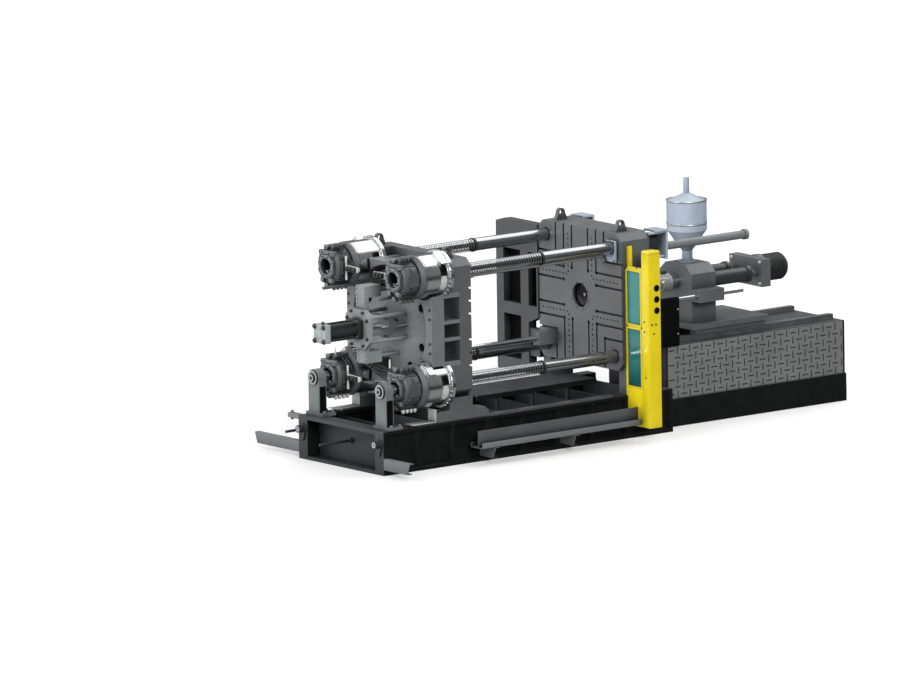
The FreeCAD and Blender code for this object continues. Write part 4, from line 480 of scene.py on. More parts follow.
class Finish(Nodes):
    """A material while it is put together."""

    def __init__(self, name):
        self.material = bpy.data.materials.new(name)
        self.material.use_nodes = True
        super().__init__(self.material.node_tree)
        self.shader = self.tree.nodes["Principled BSDF"]
        self.place = self.add("ShaderNodeTexCoord").outputs["Object"]
        self.normal = self.add("ShaderNodeNewGeometry").outputs["Normal"]

    def scaled(self, stretch):
        """Object coordinates stretched along the axes."""
        return self.add("ShaderNodeMapping", {"Scale": stretch, "Vector": self.place}).outputs["Vector"]

    def noise(self, scale, detail=3.0, roughness=0.5, stretch=(1, 1, 1)):
        """Cloudy values over the object."""
        inputs = {"Scale": scale, "Detail": detail, "Roughness": roughness, "Vector": self.scaled(stretch)}
        return self.add("ShaderNodeTexNoise", inputs).outputs["Fac"]

    def combined(self, operation, a, b):
        """What an arithmetic operation makes of two values."""
        return self.add("ShaderNodeMath", {0: a, 1: b}, operation=operation).outputs["Value"]

    def blend(self, factor, *pair):
        """Two colours blended by a factor."""
        first, second = (c if hasattr(c, "node") else (*c, 1) for c in pair)
        return self.add("ShaderNodeMix", {"Factor": factor, 6: first, 7: second}, data_type="RGBA").outputs[2]

    def rounded(self, radius):
        """Normal with softened edges."""
        return self.add("ShaderNodeBevel", {"Radius": radius}, samples=4).outputs["Normal"]

    def edges(self, soft):
        """How close a point is to an edge, from the softened normal."""
        return self.spread(self.dot(soft, self.normal), 0.995, 0.90, 0.0, 1.0)

    def upward(self):
        """How far a face looks up."""
        return self.spread(self.part(self.normal, "Z"), 0.6, 1.0, 0.0, 1.0)

    def side_shade(self):
        """How far a face looks across the machine: the mask of the painted side shade."""
        return self.spread(self.combined("ABSOLUTE", self.part(self.normal, "Y"), 0), 0.6, 0.95, 0.0, 1.0)

    def hollow_shade(self, reach):
        """Ambient occlusion, low in hollows and corners and full on open faces: the mask of the painted hollow shade.
        """
        made = self.add("ShaderNodeAmbientOcclusion", {"Distance": reach}, samples=6)
        return self.spread(made.outputs["AO"], 0.42, 0.90, 0.0, 1.0)

    def bump(self, height, distance, strength, normal):
        """Normal roughened by a height."""
        inputs = {"Height": height, "Distance": distance, "Strength": strength, "Normal": normal}
        return self.add("ShaderNodeBump", inputs).outputs["Normal"]

    def set(self, **values):
        """Set or link the shader's sockets."""
        self.feed(self.shader, {key.replace("_", " "): value for key, value in values.items()})


def shade(colour, factor):
    """A colour made darker or lighter."""
    return tuple(min(1.0, c * factor) for c in colour)


def paint(name, colour, gloss, wear, dust, coat=0.0, dirt=0.35, glow=0.0, sides=1.0, shine=0.5, reach=0.3):
    """Sprayed machine paint: faint unevenness, orange peel, dust on top, rubbed edges, painted shade in hollows and,
    where asked, painted shade on faces that look across the machine and a painted glow.
    """
    made = Finish(name)
    soft = made.rounded(0.004)
    patches = made.noise(2.2, 5, 0.6)
    body = made.blend(made.spread(patches, 0.3, 0.7, 0, 1), shade(colour, 0.86), shade(colour, 1.12))
    grime = made.noise(14.0, 6, 0.65)
    body = made.blend(made.spread(grime, 0.55, 0.8, 0, dirt), body, shade(colour, 0.62))
    lint = made.combined("MULTIPLY", made.upward(), made.spread(made.noise(6.0, 4), 0.3, 0.75, 0.1, dust))
    body = made.blend(lint, body, shade((sum(colour) / 3 + 0.1,) * 3, 1.15))
    rub = made.combined("MULTIPLY", made.edges(soft), made.spread(made.noise(35.0, 4), 0.35, 0.7, 0.1, wear))
    body = made.blend(rub, body, tuple(c * 0.6 + 0.22 for c in colour))
    # painted shade: faces that look across the machine are darkened by the factor sides
    if sides < 1.0:
        body = made.blend(made.side_shade(), body, shade(colour, sides))
    # painted shade: hollows and corners darken towards near black, by ambient occlusion over the distance reach
    made.set(Base_Color=made.blend(made.hollow_shade(reach), shade(colour, 0.08), body))
    made.set(Roughness=made.spread(made.noise(9.0, 4), 0.3, 0.75, gloss - 0.07, gloss + 0.12))
    made.set(Normal=made.bump(made.noise(420.0, 2), 0.0004, 0.5, soft))
    made.set(Coat_Weight=coat, Coat_Roughness=0.12, Specular_IOR_Level=shine)
    # painted light: the paint glows in its own colour at the strength glow
    if glow:
        made.set(Emission_Color=(*colour, 1), Emission_Strength=glow)
    return made.material


def steel(name, colour, gloss, grain, depth=0.0003, stain=0.3):
    """Turned or ground steel: fine tool marks across the grain, faint stains."""
    made = Finish(name)
    soft = made.rounded(0.002)
    marks = made.noise(1.0, 3, 0.6, grain)
    clouds = made.noise(5.0, 5, 0.6)
    body = made.blend(made.spread(marks, 0.35, 0.65, 0, 1), shade(colour, 0.86), shade(colour, 1.06))
    body = made.blend(made.spread(clouds, 0.5, 0.8, 0, stain), body, shade(colour, 0.55))
    made.set(Base_Color=body, Metallic=1.0)
    made.set(Roughness=made.combined(
        "ADD", made.spread(marks, 0.3, 0.7, gloss - 0.04, gloss + 0.06), made.spread(clouds, 0.4, 0.8, 0, 0.1)))
    made.set(Normal=made.bump(marks, depth, 0.35, soft))
    return made.material


def tinted(name, colour):
    """Tinted polycarbonate pane, with painted shade: darker towards its lower part."""
    made = Finish(name)
    haze = made.noise(3.0, 3)
    # painted shade: the tint falls to 0.22 of its colour towards the bottom of the pane
    tint = made.blend(made.spread(made.part(made.place, "Z"), 0.7, 1.55, 0, 1), shade(colour, 0.22), colour)
    made.set(Base_Color=made.blend(made.spread(haze, 0.3, 0.75, 0, 0.25), tint, shade(colour, 1.5)))
    made.set(Roughness=made.spread(made.noise(20.0, 4), 0.4, 0.8, 0.12, 0.20))
    made.set(Transmission_Weight=0.12, IOR=1.49, Coat_Weight=0.4, Coat_Roughness=0.14)
    return made.material


def rubber(name, colour):
    """Black rubber or plastic moulding."""
    made = Finish(name)
    soft = made.rounded(0.003)
    dull = made.noise(25.0, 5)
    made.set(Base_Color=made.blend(made.spread(dull, 0.4, 0.8, 0, 0.6), colour, shade(colour, 2.2)))
    made.set(Roughness=made.spread(dull, 0.3, 0.7, 0.45, 0.7), Normal=made.bump(made.noise(600, 2), 0.0003, 0.5, soft))
    return made.material


def spangled(name, colour):
    """Zinc-coated sheet with its crystal pattern."""
    made = Finish(name)
    cells = made.add("ShaderNodeTexVoronoi", {"Scale": 55.0, "Vector": made.scaled((1, 1, 1))})
    tone = made.spread(cells.outputs["Color"], 0, 1, 0, 1)
    made.set(Base_Color=made.blend(tone, shade(colour, 0.82), shade(colour, 1.1)), Metallic=0.85)
    made.set(Roughness=made.spread(tone, 0, 1, 0.3, 0.48))
    made.set(Normal=made.bump(made.noise(120.0, 3), 0.0004, 0.4, made.rounded(0.003)))
    return made.material


FINISHES = {}

# ---------------------------------------------------------------- sizes and colours


def length(label, text, value):
    """A length for the panel."""
    return FloatProperty(name=label, description=text, default=value, min=0.0, subtype="DISTANCE", unit="LENGTH")


def colour(label, text, value):
    """A colour for the panel."""
    return FloatVectorProperty(name=label, description=text, default=value, size=3, min=0, max=1, subtype="COLOR")


class MachineSizes(bpy.types.PropertyGroup):
    """Sizes of the pieces that dress the frame."""

    groove_pitch: length("Groove pitch", "Spacing of the locking grooves on the tie bars", 0.040)
    groove_depth: length("Groove depth", "Depth of the locking grooves", 0.010)
    hole_pitch: length("Hole pitch", "Spacing of the tapped holes in the mould faces", 0.07)
    hole_width: length("Hole diameter", "Diameter of the tapped holes in the mould faces", 0.026)
    pipe_radius: length("Pipe radius", "Outer radius of the hydraulic pipes", 0.011)
    tread_length: length("Tread bar", "Length of one raised bar of the tread plate", 0.093)
    camera_distance: length("Camera distance", "Distance of the camera from the machine", 300.0)
    frame_width: length("Frame width", "Width of the picture at the machine", 11.531)


class MachineColours(bpy.types.PropertyGroup):
    """Colours of the finishes."""

    base: colour("Base paint", "Dark grey of the base", (0.043, 0.047, 0.050))
    platen: colour("Platen paint", "Grey of platens and castings", (0.086, 0.094, 0.097))
    light: colour("Light paint", "Light grey of pedestals and guards", (0.135, 0.150, 0.150))
    blue_grey: colour("Blue grey paint", "Pale blue grey of brackets and hopper", (0.33, 0.38, 0.46))
    yellow: colour("Guard yellow", "Yellow of the guard column", (0.59, 0.475, 0.008))
    window: colour("Window tint", "Tint of the guard windows", (0.030, 0.215, 0.215))
    steel: colour("Steel", "Bare turned steel", (0.60, 0.61, 0.62))
    floor: colour("Floor", "Pale studio floor", (0.90, 0.90, 0.90))


def sizes():
    """The scene's sizes."""
    return bpy.context.scene.machine_sizes


def colours():
    """The scene's colours."""
    return bpy.context.scene.machine_colours


def mix(maker, name, *values, **more):
    """Mix a finish and keep it under its name."""
    FINISHES[name] = maker(name, *values, **more)


class MACHINE_OT_finishes(bpy.types.Operator):
    """Mix the finishes and put them on the nodes of the frame"""

    bl_idname = "machine.finishes"
    bl_label = "Finishes"

    def execute(self, context):
        tone = colours()
        platen, light = tuple(tone.platen), tuple(tone.light)
        # base paint with painted shade: its sides darkened to a tenth and its hollows shaded over 0.6 m
        mix(paint, "base_paint", tuple(tone.base), 0.40, 0.55, 0.30, sides=0.10, shine=0.3, reach=0.6)
        mix(paint, "platen_paint", platen, 0.42, 0.5, 0.35)
        # platen paint lightened 1.65 times; on the rear casting it is painted light, for brighter light at the back of
        # the moving platen
        mix(paint, "casting_paint", shade(platen, 1.65), 0.42, 0.5, 0.35)
        mix(paint, "yoke_paint", shade(platen, 2.5), 0.42, 0.5, 0.35)
        mix(paint, "guard_grey", shade(platen, 0.52), 0.42, 0.4, 0.2)
        mix(paint, "unit_paint", shade(platen, 0.80), 0.36, 0.7, 0.4)
        mix(paint, "light_paint", light, 0.42, 0.5, 0.3)
        mix(paint, "cap_paint", shade(light, 2.3), 0.4, 0.4, 0.2)
        mix(paint, "blue_grey_paint", tuple(tone.blue_grey), 0.35, 0.4, 0.2)
        # guard yellow with a painted glow of 0.22, though the column is no lamp
        mix(paint, "guard_yellow", tuple(tone.yellow), 0.24, 0.1, 0.02, coat=0.4, dirt=0.06, glow=0.22)
        mix(paint, "dark_steel", (0.022, 0.024, 0.025), 0.34, 0.7, 0.2)
        # near-black paint; as the bore sleeve, the pedestal shade panels and the far guard shade sheets it is painted
        # shade
        mix(paint, "dark_hollow", (0.003, 0.003, 0.003), 0.7, 0.05, 0.02, shine=0.05)
        mix(paint, "dish_face", (0.155, 0.168, 0.180), 0.30, 0.3, 0.2, coat=0.2)
        mix(paint, "tread_plate", (0.15, 0.16, 0.155), 0.38, 0.6, 0.3)
        mix(paint, "bare_plate", (0.52, 0.54, 0.52), 0.4, 0.1, 0.1)
        mix(steel, "machined_face", (0.33, 0.35, 0.36), 0.36, (4, 4, 160))
        mix(steel, "bar_steel", shade(tuple(tone.steel), 0.80), 0.17, (240, 2, 2), 0.00008, 0.12)
        # dark steel for the groove bottoms: painted shade
        mix(steel, "groove_valley", (0.05, 0.05, 0.052), 0.42, (240, 2, 2), 0.0001, 0.3)
        mix(steel, "chrome", (0.74, 0.75, 0.76), 0.13, (320, 2, 2), 0.00010, 0.06)
        mix(spangled, "galvanized", (0.50, 0.52, 0.52))
        mix(rubber, "black_rubber", (0.012, 0.012, 0.012))
        mix(tinted, "tinted_window", tuple(tone.window))
        for node in NODES.values():
            for slot in node.material_slots:
                key = slot.material.name.split(".")[0] if slot.material else ""
                if key not in FINISHES:
                    raise RuntimeError("no finish for " + key + " on " + node.name)
                slot.material = FINISHES[OWN_FINISH.get(node.name, key)]
        return {"FINISHED"}


OWN_FINISH = {
    "platen_rear_casting": "casting_paint",
    "ejector_frame": "yoke_paint",
    "platen_shoes": "platen_paint",
    "moving_platen_lugs": "platen_paint",
    "fixed_platen_lugs": "platen_paint",
    "traverse_barrels": "casting_paint",
    "junction_box": "dark_hollow",
    "guard_grommets": "dark_hollow",
    "side_gutter": "platen_paint",
    "far_guard_frame": "guard_grey",
    "traverse_supports": "platen_paint",
    "cylinder_port_blocks": "chrome",
    "lock_unit_upper_near": "unit_paint",
    "lock_unit_upper_far": "unit_paint",
    "lock_unit_lower_near": "unit_paint",
    "lock_unit_lower_far": "unit_paint",
}


class MACHINE_OT_tie_bars(bpy.types.Operator):
    """Four tie bars with fine locking grooves"""

    bl_idname = "machine.tie_bars"
    bl_label = "Tie bars"

    def execute(self, context):
        rear = groove_span()[1]
        bottom = BAR_RADIUS - 0.25 * sizes().groove_depth
        for node, z, rear_end in (("upper_tie_bars", UPPER_Z, UPPER_LOW.x), ("lower_tie_bars", LOWER_Z, None)):
            piece = joined(node + "_grooved", *[grooved_bar(y, z, rear_end) for y in (-BAR_Y, BAR_Y)])
            done(piece, "machine_base", "bar_steel", angle=50)
            piece.data.materials.append(FINISHES["groove_valley"])
            # the groove bottoms take the dark steel as painted shade
            edit(piece, lambda c, n, z=z: rear < c.x < GROOVE_FRONT and from_bar(c, z) < bottom)
            piece.active_material_index = 1
            bpy.ops.object.material_slot_assign()
            clear()
            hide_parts(node)
        collars = [bevel(ring("ring", (GROOVE_FRONT, y, z), 0.034, RING_RADIUS, BAR_RADIUS - 0.001), 0.001)
                   for y, z in CORNERS.values()]
        done(joined("groove_end_rings", *collars), "machine_base", "dark_steel", "dark_hollow")
        clear()
        return {"FINISHED"}


def groove_span():
    """How many grooves a tie bar has and the X where they begin."""
    pitch = sizes().groove_pitch
    count = int((GROOVE_FRONT - GROOVE_LIMIT) / pitch)
    return count, GROOVE_FRONT - count * pitch


def from_bar(centre, z):
    """Distance of a face from the middle of the tie bars at a height."""
    return math.hypot(abs(centre.y) - BAR_Y, centre.z - z)


def squeeze(factor):
    """Scale the picked faces across X about their own middle."""
    bpy.ops.transform.resize(value=(1, factor, factor))


def groove(radius, gap=0.0):
    """Carry the picked end of a bar down, along and up through one groove."""
    pitch, depth = sizes().groove_pitch, sizes().groove_depth
    extrude((pitch * GROOVE_SLOPE, 0, 0))
    squeeze((radius - depth) / radius)
    extrude((pitch * GROOVE_BOTTOM - 2 * gap, 0, 0))
    extrude((pitch * GROOVE_SLOPE, 0, 0))
    squeeze(radius / (radius - depth))


def grooved_bar(y, z, rear_end):
    """One tie bar: rear end, buttress grooves and plain front."""
    radius, pitch = BAR_RADIUS, sizes().groove_pitch
    count, rear = groove_span()
    tooth = bar("tooth", (rear, y, z), pitch * GROOVE_LAND, radius, "X", BAR_SIDES)
    edit_side(tooth, FRONT)
    groove(radius)
    clear()
    row(opened(opened(tooth, REAR), FRONT), count, (pitch, 0, 0))
    front = bar("front", (GROOVE_FRONT, y, z), UPPER_HIGH.x - GROOVE_FRONT, radius, "X", BAR_SIDES)
    inset(front, FRONT, (0.006, 0.006, 0), (radius * 0.72, 0, -0.02))
    if rear_end is None:
        back = bar("rear", (JOURNAL_FRONT, y, z), rear - JOURNAL_FRONT, radius, "X", BAR_SIDES)
        journal = JOURNAL_FRONT - JOURNAL_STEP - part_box("lower_tie_bars")[0].x
        inset(back, REAR, (radius - JOURNAL_RADIUS, JOURNAL_STEP, journal))
    else:
        back = bar("rear", (rear_end, y, z), rear - rear_end, radius, "X", BAR_SIDES)
        inset(back, REAR, (0.008, 0.008, 0), (radius * 0.74, 0, -0.02))
    return tidy(joined("grooved_bar", opened(back, FRONT), tooth, opened(front, REAR)), 0.0002)


class MACHINE_OT_mould_faces(bpy.types.Operator):
    """Mould faces of both platens, drilled with their rows of tapped holes"""

    bl_idname = "machine.mould_faces"
    bl_label = "Mould faces"

    def execute(self, context):
        for node, body, end, inward in (("fixed_mould_plate", "machine_base", 0, 1),
                                        ("moving_platen", "moving_platen", 1, -1)):
            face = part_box(node)[end].x
            piece = whole_copy(node, node + "_drilled")
            cut(piece, bits(face, inward, sizes().hole_width / 2, 0.06, 14, hole_places()))
            cut(piece, bits(face, inward, 0.024, 0.07, 20, slot_end_places()))
            done(piece, body, "platen_paint", angle=30)
            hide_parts(node)
        seat = (BORE_SEAT, 0, AXIS_Z)
        collar("locating_ring", seat, 0.02, 0.197, 0.1575, "machine_base", "machined_face", "platen_paint")
        # near-black sleeve inside the bore: painted shade
        collar("bore_shade_sleeve", (0.035, 0, AXIS_Z), 0.022, 0.1585, 0.135, "machine_base", "dark_steel", "dark_hollow",
               0.001)
        screws("locating_ring_screws", circle_places(seat, 0.177, 8, 0.39), REAR, 0.009, 0.006, "machine_base")
        clear()
        return {"FINISHED"}


def hole_places():
    """Tapped holes of a mould face, in four rows and in four columns that each leave one place out."""
    places = []
    for i in range(HOLES_IN_ROW):
        along = HOLE_START + i * sizes().hole_pitch
        for a, b in SIGNS:
            if abs(along - HOLE_LEFT_OUT) > 0.001:
                places.append((a * HOLE_ROW, b * along))
            places.append((b * along, a * HOLE_ROW))
    return places


def slot_end_places():
    """Inner ends of the clamping slots."""
    places = set()
    for offset, start in SLOT_ENDS:
        places.update((a * start, b * offset) for a, b in SIGNS)
        places.update((b * offset, a * start) for a, b in SIGNS)
    return sorted(places)


def bits(face, inward, radius, length, sides, places):
    """Drill bits at places on a mould face."""
    bit = bar("bit", (0, 0, -BIT_REACH), length, radius, "Z", sides)
    return copies("bits", bit, [facing((face, y, AXIS_Z + z), (inward, 0, 0)) for y, z in places])


class MACHINE_OT_clamp_drums(bpy.types.Operator):
    """Screws, rings and bare plates on the four clamp cylinders"""

    bl_idname = "machine.clamp_drums"
    bl_label = "Clamp cylinders"

    def execute(self, context):
        front, rear = DRUMS_HIGH.x, DRUMS_LOW.x
        body = "moving_platen"
        spots = [(a, x) for a in (-32, -1, 11, 27) for x in (DRUM_PLATE_X + 0.010, DRUM_PLATE_X + 0.085)]
        for corner, (y, z) in CORNERS.items():
            screws("drum_flange_screws_" + corner, circle_places((front - 0.048, y, z), 0.299, 28), REAR, 0.011, 0.012,
                   body, "galvanized")
            collar("drum_band_" + corner, (front - 0.075, y, z), 0.024, 0.2915, 0.2848, body, "galvanized")
            collar("drum_seam_" + corner, (rear + 0.012, y, z), 0.010, 0.2868, 0.2845, body, "dark_steel", None, 0.001)
            slanted = []
            for p in circle_places((rear - 0.024, y, z), 0.262, 20, 0.1):
                out = Vector((0, p.y - y, p.z - z)).normalized()
                slanted.append(facing(p, out + Vector(REAR)))
            done(copies("drum_cover_screws_" + corner, cap_screw(0.013, 0.012), slanted), body, "dark_steel")
            start = (DRUM_PLATE_X, y, z)
            bare = curved_plate("drum_plate_" + corner, start, DRUM_PLATE_LENGTH, DRUM_SKIN, (-36, 3), 0.003)
            done(bare, body, "light_paint", "bare_plate")
            port = curved_plate("drum_port_" + corner, start, DRUM_PLATE_LENGTH, DRUM_SKIN, (7, 31), 0.008)
            done(bevel(port, 0.002), body, "dark_steel", "dark_hollow")
            side_screws("drum_plate_screws_" + corner, y, z, 0.290, -1, spots, (0.006, 0.006), body)
        clear()
        return {"FINISHED"}


class MACHINE_OT_lock_units(bpy.types.Operator):
    """Flanges, actuators, hoses and valves on the four locking units, and their half nuts"""

    bl_idname = "machine.lock_units"
    bl_label = "Locking units"

    def execute(self, context):
        for corner, (y, z) in CORNERS.items():
            dress_lock_unit("lock_unit_" + corner, y, z)
        tooth_half_nuts()
        clear()
        return {"FINISHED"}


def tooth_half_nuts():
    """Eight half nuts whose teeth fit the bars' fine grooves: one is modelled, the others are its copies."""
    low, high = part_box("half_nut_upper_near_top")
    pitch, radius = sizes().groove_pitch, BAR_RADIUS + NUT_GAP
    land = pitch * GROOVE_LAND + 2 * NUT_GAP
    tool = bar("tool", (low.x - pitch - NUT_GAP, -BAR_Y, low.z - NUT_START), land, radius, "X", BAR_SIDES)
    edit_side(tool, FRONT)
    for _ in range(round((high.x - low.x) / pitch) + 2):
        groove(radius, NUT_GAP)
        extrude((land, 0, 0))
    clear()
    nut = cut(bevel(block("half_nut", low, high), 0.004), tool)
    for corner in CORNERS:
        for side, angle in (("top", 0), ("bottom", math.pi)):
            node = "half_nut_" + corner + "_" + side
            copy = bpy.data.objects.new(node + "_toothed", nut.data.copy())
            copy.data.name = copy.name
            copy.data.transform(Matrix.Translation(middle(node)) @ Matrix.Rotation(angle, 4, "X")
                                @ Matrix.Translation((low + high) / -2))
            bpy.context.collection.objects.link(copy)
            done(copy, node, "machined_face")
            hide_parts(node)
    bpy.data.objects.remove(nut)


def dress_lock_unit(body, y, z):
    """Everything that sits on one locking unit."""
    inner = -int(math.copysign(1, y))
    rear = UNIT_REAR
    middle_x = (rear + 0.024 + UNIT_FRONT) / 2
    centre = Matrix.Translation((0, y, z))
    flange = bar(body + "_flange", (rear - 0.012, y, z), 0.012, 0.1625, "X", 8)
    flange.data.transform(centre @ Matrix.Rotation(math.pi / 8, 4, "X") @ centre.inverted())
    cut(flange, bar("bore", (rear - 0.03, y, z), 0.06, 0.106, "X", 48))
    done(bevel(flange, 0.003), body, "light_paint")
    feet = [inset(block("foot", (rear - 0.008, y + s * 0.085 - 0.03, z - 0.205),
                        (rear + 0.05, y + s * 0.085 + 0.03, z - 0.146)), DOWN, (0.010, 0, 0.012)) for s in (-1, 1)]
    done(bevel(joined(body + "_feet", *feet), 0.003), body, "light_paint")
    spots = circle_places((rear - 0.012, y, z), 0.132, 8, math.pi / 8)
    screws(body + "_flange_screws", spots, REAR, 0.0095, 0.009, body)
    collar(body + "_wiper", (rear - 0.006, y, z), 0.024, 0.106, 0.0985, body, "black_rubber", sides=48)
    bands = [bevel(ring("band", (x, y, z), 0.014, 0.2285, 0.2235, "X", 64), 0.002) for x in UNIT_BANDS]
    done(joined(body + "_bands", *bands), body, "dark_steel")
    hood = curved_plate(body + "_hood", (rear + 0.055, y, z), 0.175, 0.2300, (-38, 44), 0.010, -inner)
    done(bevel(hood, 0.003), body, "light_paint", "unit_paint")
    strap = curved_plate(body + "_strap", (rear + 0.120, y, z), 0.022, 0.2402, (-36, 42), 0.003, -inner)
    done(bevel(strap, 0.001), body, "light_paint", "dark_steel")
    spots = [(a, rear + 0.131) for a in (-28, 34)]
    side_screws(body + "_strap_screws", y, z, 0.2425, -inner, spots, (0.008, 0.006), body)
    rib = narrowed(block("rib", (rear + 0.05, -0.008, 0.212), (UNIT_FRONT - 0.02, 0.008, 0.235)), UP, (0.9, 0.6, 1))
    ribs = copies(body + "_ribs", rib, [centre @ Matrix.Rotation(math.radians(a), 4, "X") for a in RIB_ANGLES])
    done(bevel(ribs, 0.002), body, "light_paint", "unit_paint")
    for side, name in ((-1, body + "_bottom"), (1, body + "_top")):
        dress_actuator(name, body, middle_x, y, z, side)
    plate(body + "_box_front", (rear + 0.002, y - 0.15, z + 0.14), (rear + 0.05, y + 0.15, z + 0.206), REAR,
          (0.012, 0.002, 0), 0.002, body, "light_paint")
    spots = [(rear + 0.002, y + k * 0.05, z + 0.18) for k in (-2.6, -1.4, 1.4, 2.6)]
    screws(body + "_box_screws", spots, REAR, 0.008, 0.010, body)
    dress_valves(body, y, z, inner, middle_x)


def dress_actuator(name, body, x, y, z, side):
    """Cover, screws, end cap and fittings on one actuator of a locking unit."""
    out = (0, 0, side)
    high = z + side * ACTUATOR_TOP
    top = high + side * 0.008
    plate(name + "_cover", (x - 0.105, y - 0.1, high), (x + 0.085, y + 0.1, top), out, (0.03, 0.004, 0), 0.002,
          body, "light_paint", "unit_paint")
    spots = [(x + dx, y + dy, top) for dx in (-0.093, 0.073) for dy in (-0.086, 0, 0.086)]
    screws(name + "_cover_screws", spots, out, 0.009, 0.009, body, "galvanized")
    barrel = bar(name + "_barrel", (x - 0.145, y, high), 0.035, 0.034, "X", 28)
    done(bevel(inset(barrel, REAR, (0.008, 0.004, 0), (0.012, 0, 0.010)), 0.0015), body, "light_paint")
    fitting = block(name + "_fittings", (x - 0.135, y - 0.145, high), (x - 0.095, y - 0.110, high + side * 0.034))
    inset(fitting, out, (0.006, 0, 0.014), (0.005, 0, -0.010))
    pale = name.startswith("lock_unit_lower") and side < 0
    done(bevel(row(fitting, 4, (0.062, 0, 0)), 0.0015), body, "light_paint", "bare_plate" if pale else "unit_paint")


def dress_valves(body, y, z, inner, x):
    """Switch plate, cross bracket and small valves on the inner side of a locking unit."""
    inwards = (0, inner, 0)

    def at(dx, reach, dz):
        """A place by its reach from the unit's flank."""
        return Vector((x + dx, y + inner * (UNIT_FLANK + reach), z + dz))

    plate(body + "_switch_plate", at(-0.030, 0.002, -0.155), at(-0.020, 0.040, 0.155), REAR, (0.006, 0.002, 0), 0.002,
          body, "light_paint", "bare_plate")
    plate(body + "_carrier", at(-0.020, -0.004, -0.06), at(0.085, 0.030, 0.06), inwards, (0.012, 0.008, 0), 0.003,
          body, "light_paint", "unit_paint")
    bracket = block(body + "_cross_bracket", at(-0.042, 0.036, -0.042), at(-0.030, 0.285, 0.046))
    narrowed(inset(bracket, FRONT, (0.010, 0, 0.030)), inwards, (1, 1, 0.72))
    done(bevel(bracket, 0.002), body, "light_paint", "bare_plate")
    valves = []
    for reach in (0.075, 0.141, 0.207):
        valve = block("valve", at(-0.074, reach, -0.030), at(-0.043, reach + 0.040, 0.034))
        valves.append(bevel(inset(valve, REAR, (0.007, 0, 0.018)), 0.002))
    done(joined(body + "_valves", *valves), body, "dark_steel")
    hoses = []
    for dx in (-0.02, 0.03):
        points = [at(dx, 0.035, 0.045), at(dx, 0.050, 0.085), at(dx, 0.005, 0.165)]
        points += [Vector((x + dx, y + inner * 0.165, z + 0.235)), Vector((x + dx, y + inner * 0.105, z + 0.262))]
        hoses.append(pipe("hose", points, sizes().pipe_radius * 0.75, 0.03))
    done(joined(body + "_hoses", *hoses), body, "black_rubber")
    if z < AXIS_Z:
        post_y = y + inner * 0.13
        post = block(body + "_post", (x - 0.120, post_y - 0.020, z + 0.256), (x - 0.112, post_y + 0.020, z + 0.370))
        done(bevel(narrowed(post, UP, (1, 0.5, 1)), 0.001), body, "light_paint", "bare_plate")


class MACHINE_OT_ejector(bpy.types.Operator):
    """Screws, nuts, caps, ports and a sensor on the ejector and its yoke"""

    bl_idname = "machine.ejector"
    bl_label = "Ejector"

    def execute(self, context):
        body = "moving_platen"
        screws("yoke_screws", four(YOKE_FACE, 0.207, 0.12) + four(YOKE_FACE, 0.12, 0.215), REAR, 0.02, 0.02, body)
        spots = [(x, y, z + 0.045) for up in (0.285, 0.345, 0.405, 0.47) for x, y, z in four(BRIDGE_FACE, 0.072, up)]
        screws("bridge_screws", spots, REAR, 0.013, 0.013, body, "galvanized")
        for name, x, radius, height in (("ejector_tie_nuts", EJECTOR_REAR - 0.004, 0.027, 0.021),
                                        ("ejector_front_nuts", EJECTOR_NECK + 0.001, 0.025, 0.02)):
            screws(name, four(x, TIE_OFFSET, TIE_OFFSET), REAR, radius, height, body, head=hex_bolt)
        for name, x, end, slot, finish in (
            ("ejector_rear_cap", EJECTOR_REAR - 0.001, EJECTOR_REAR + 0.091, "platen_paint", "cap_paint"),
            ("ejector_front_cap", EJECTOR_NECK, EJECTOR_NECK + 0.080, "dark_steel", None),
        ):
            cap = block(name, (x, -CAP_HALF, AXIS_Z - CAP_HALF), (end, CAP_HALF, AXIS_Z + CAP_HALF))
            done(bevel(inset(cap, REAR, (0.07, 0, 0.010)), 0.006, 3), body, slot, finish)
        ports = [inset(bar("port", (x, -0.02, AXIS_Z + 0.12), 0.024, 0.024, "Z", 6), UP, (0.007, 0, 0.012))
                 for x in (EJECTOR_REAR + 0.045, EJECTOR_NECK + 0.039)]
        done(joined("ejector_ports", *ports), body, "dark_steel")
        sensor = bar("ejector_sensor", (EJECTOR_REAR + 0.09, 0.116, AXIS_Z - 0.02), 0.44, 0.012, "X", 16)
        for way in (REAR, FRONT):
            inset(sensor, way, (0.004, 0.006, 0))
        done(sensor, body, "chrome")
        clear()
        return {"FINISHED"}


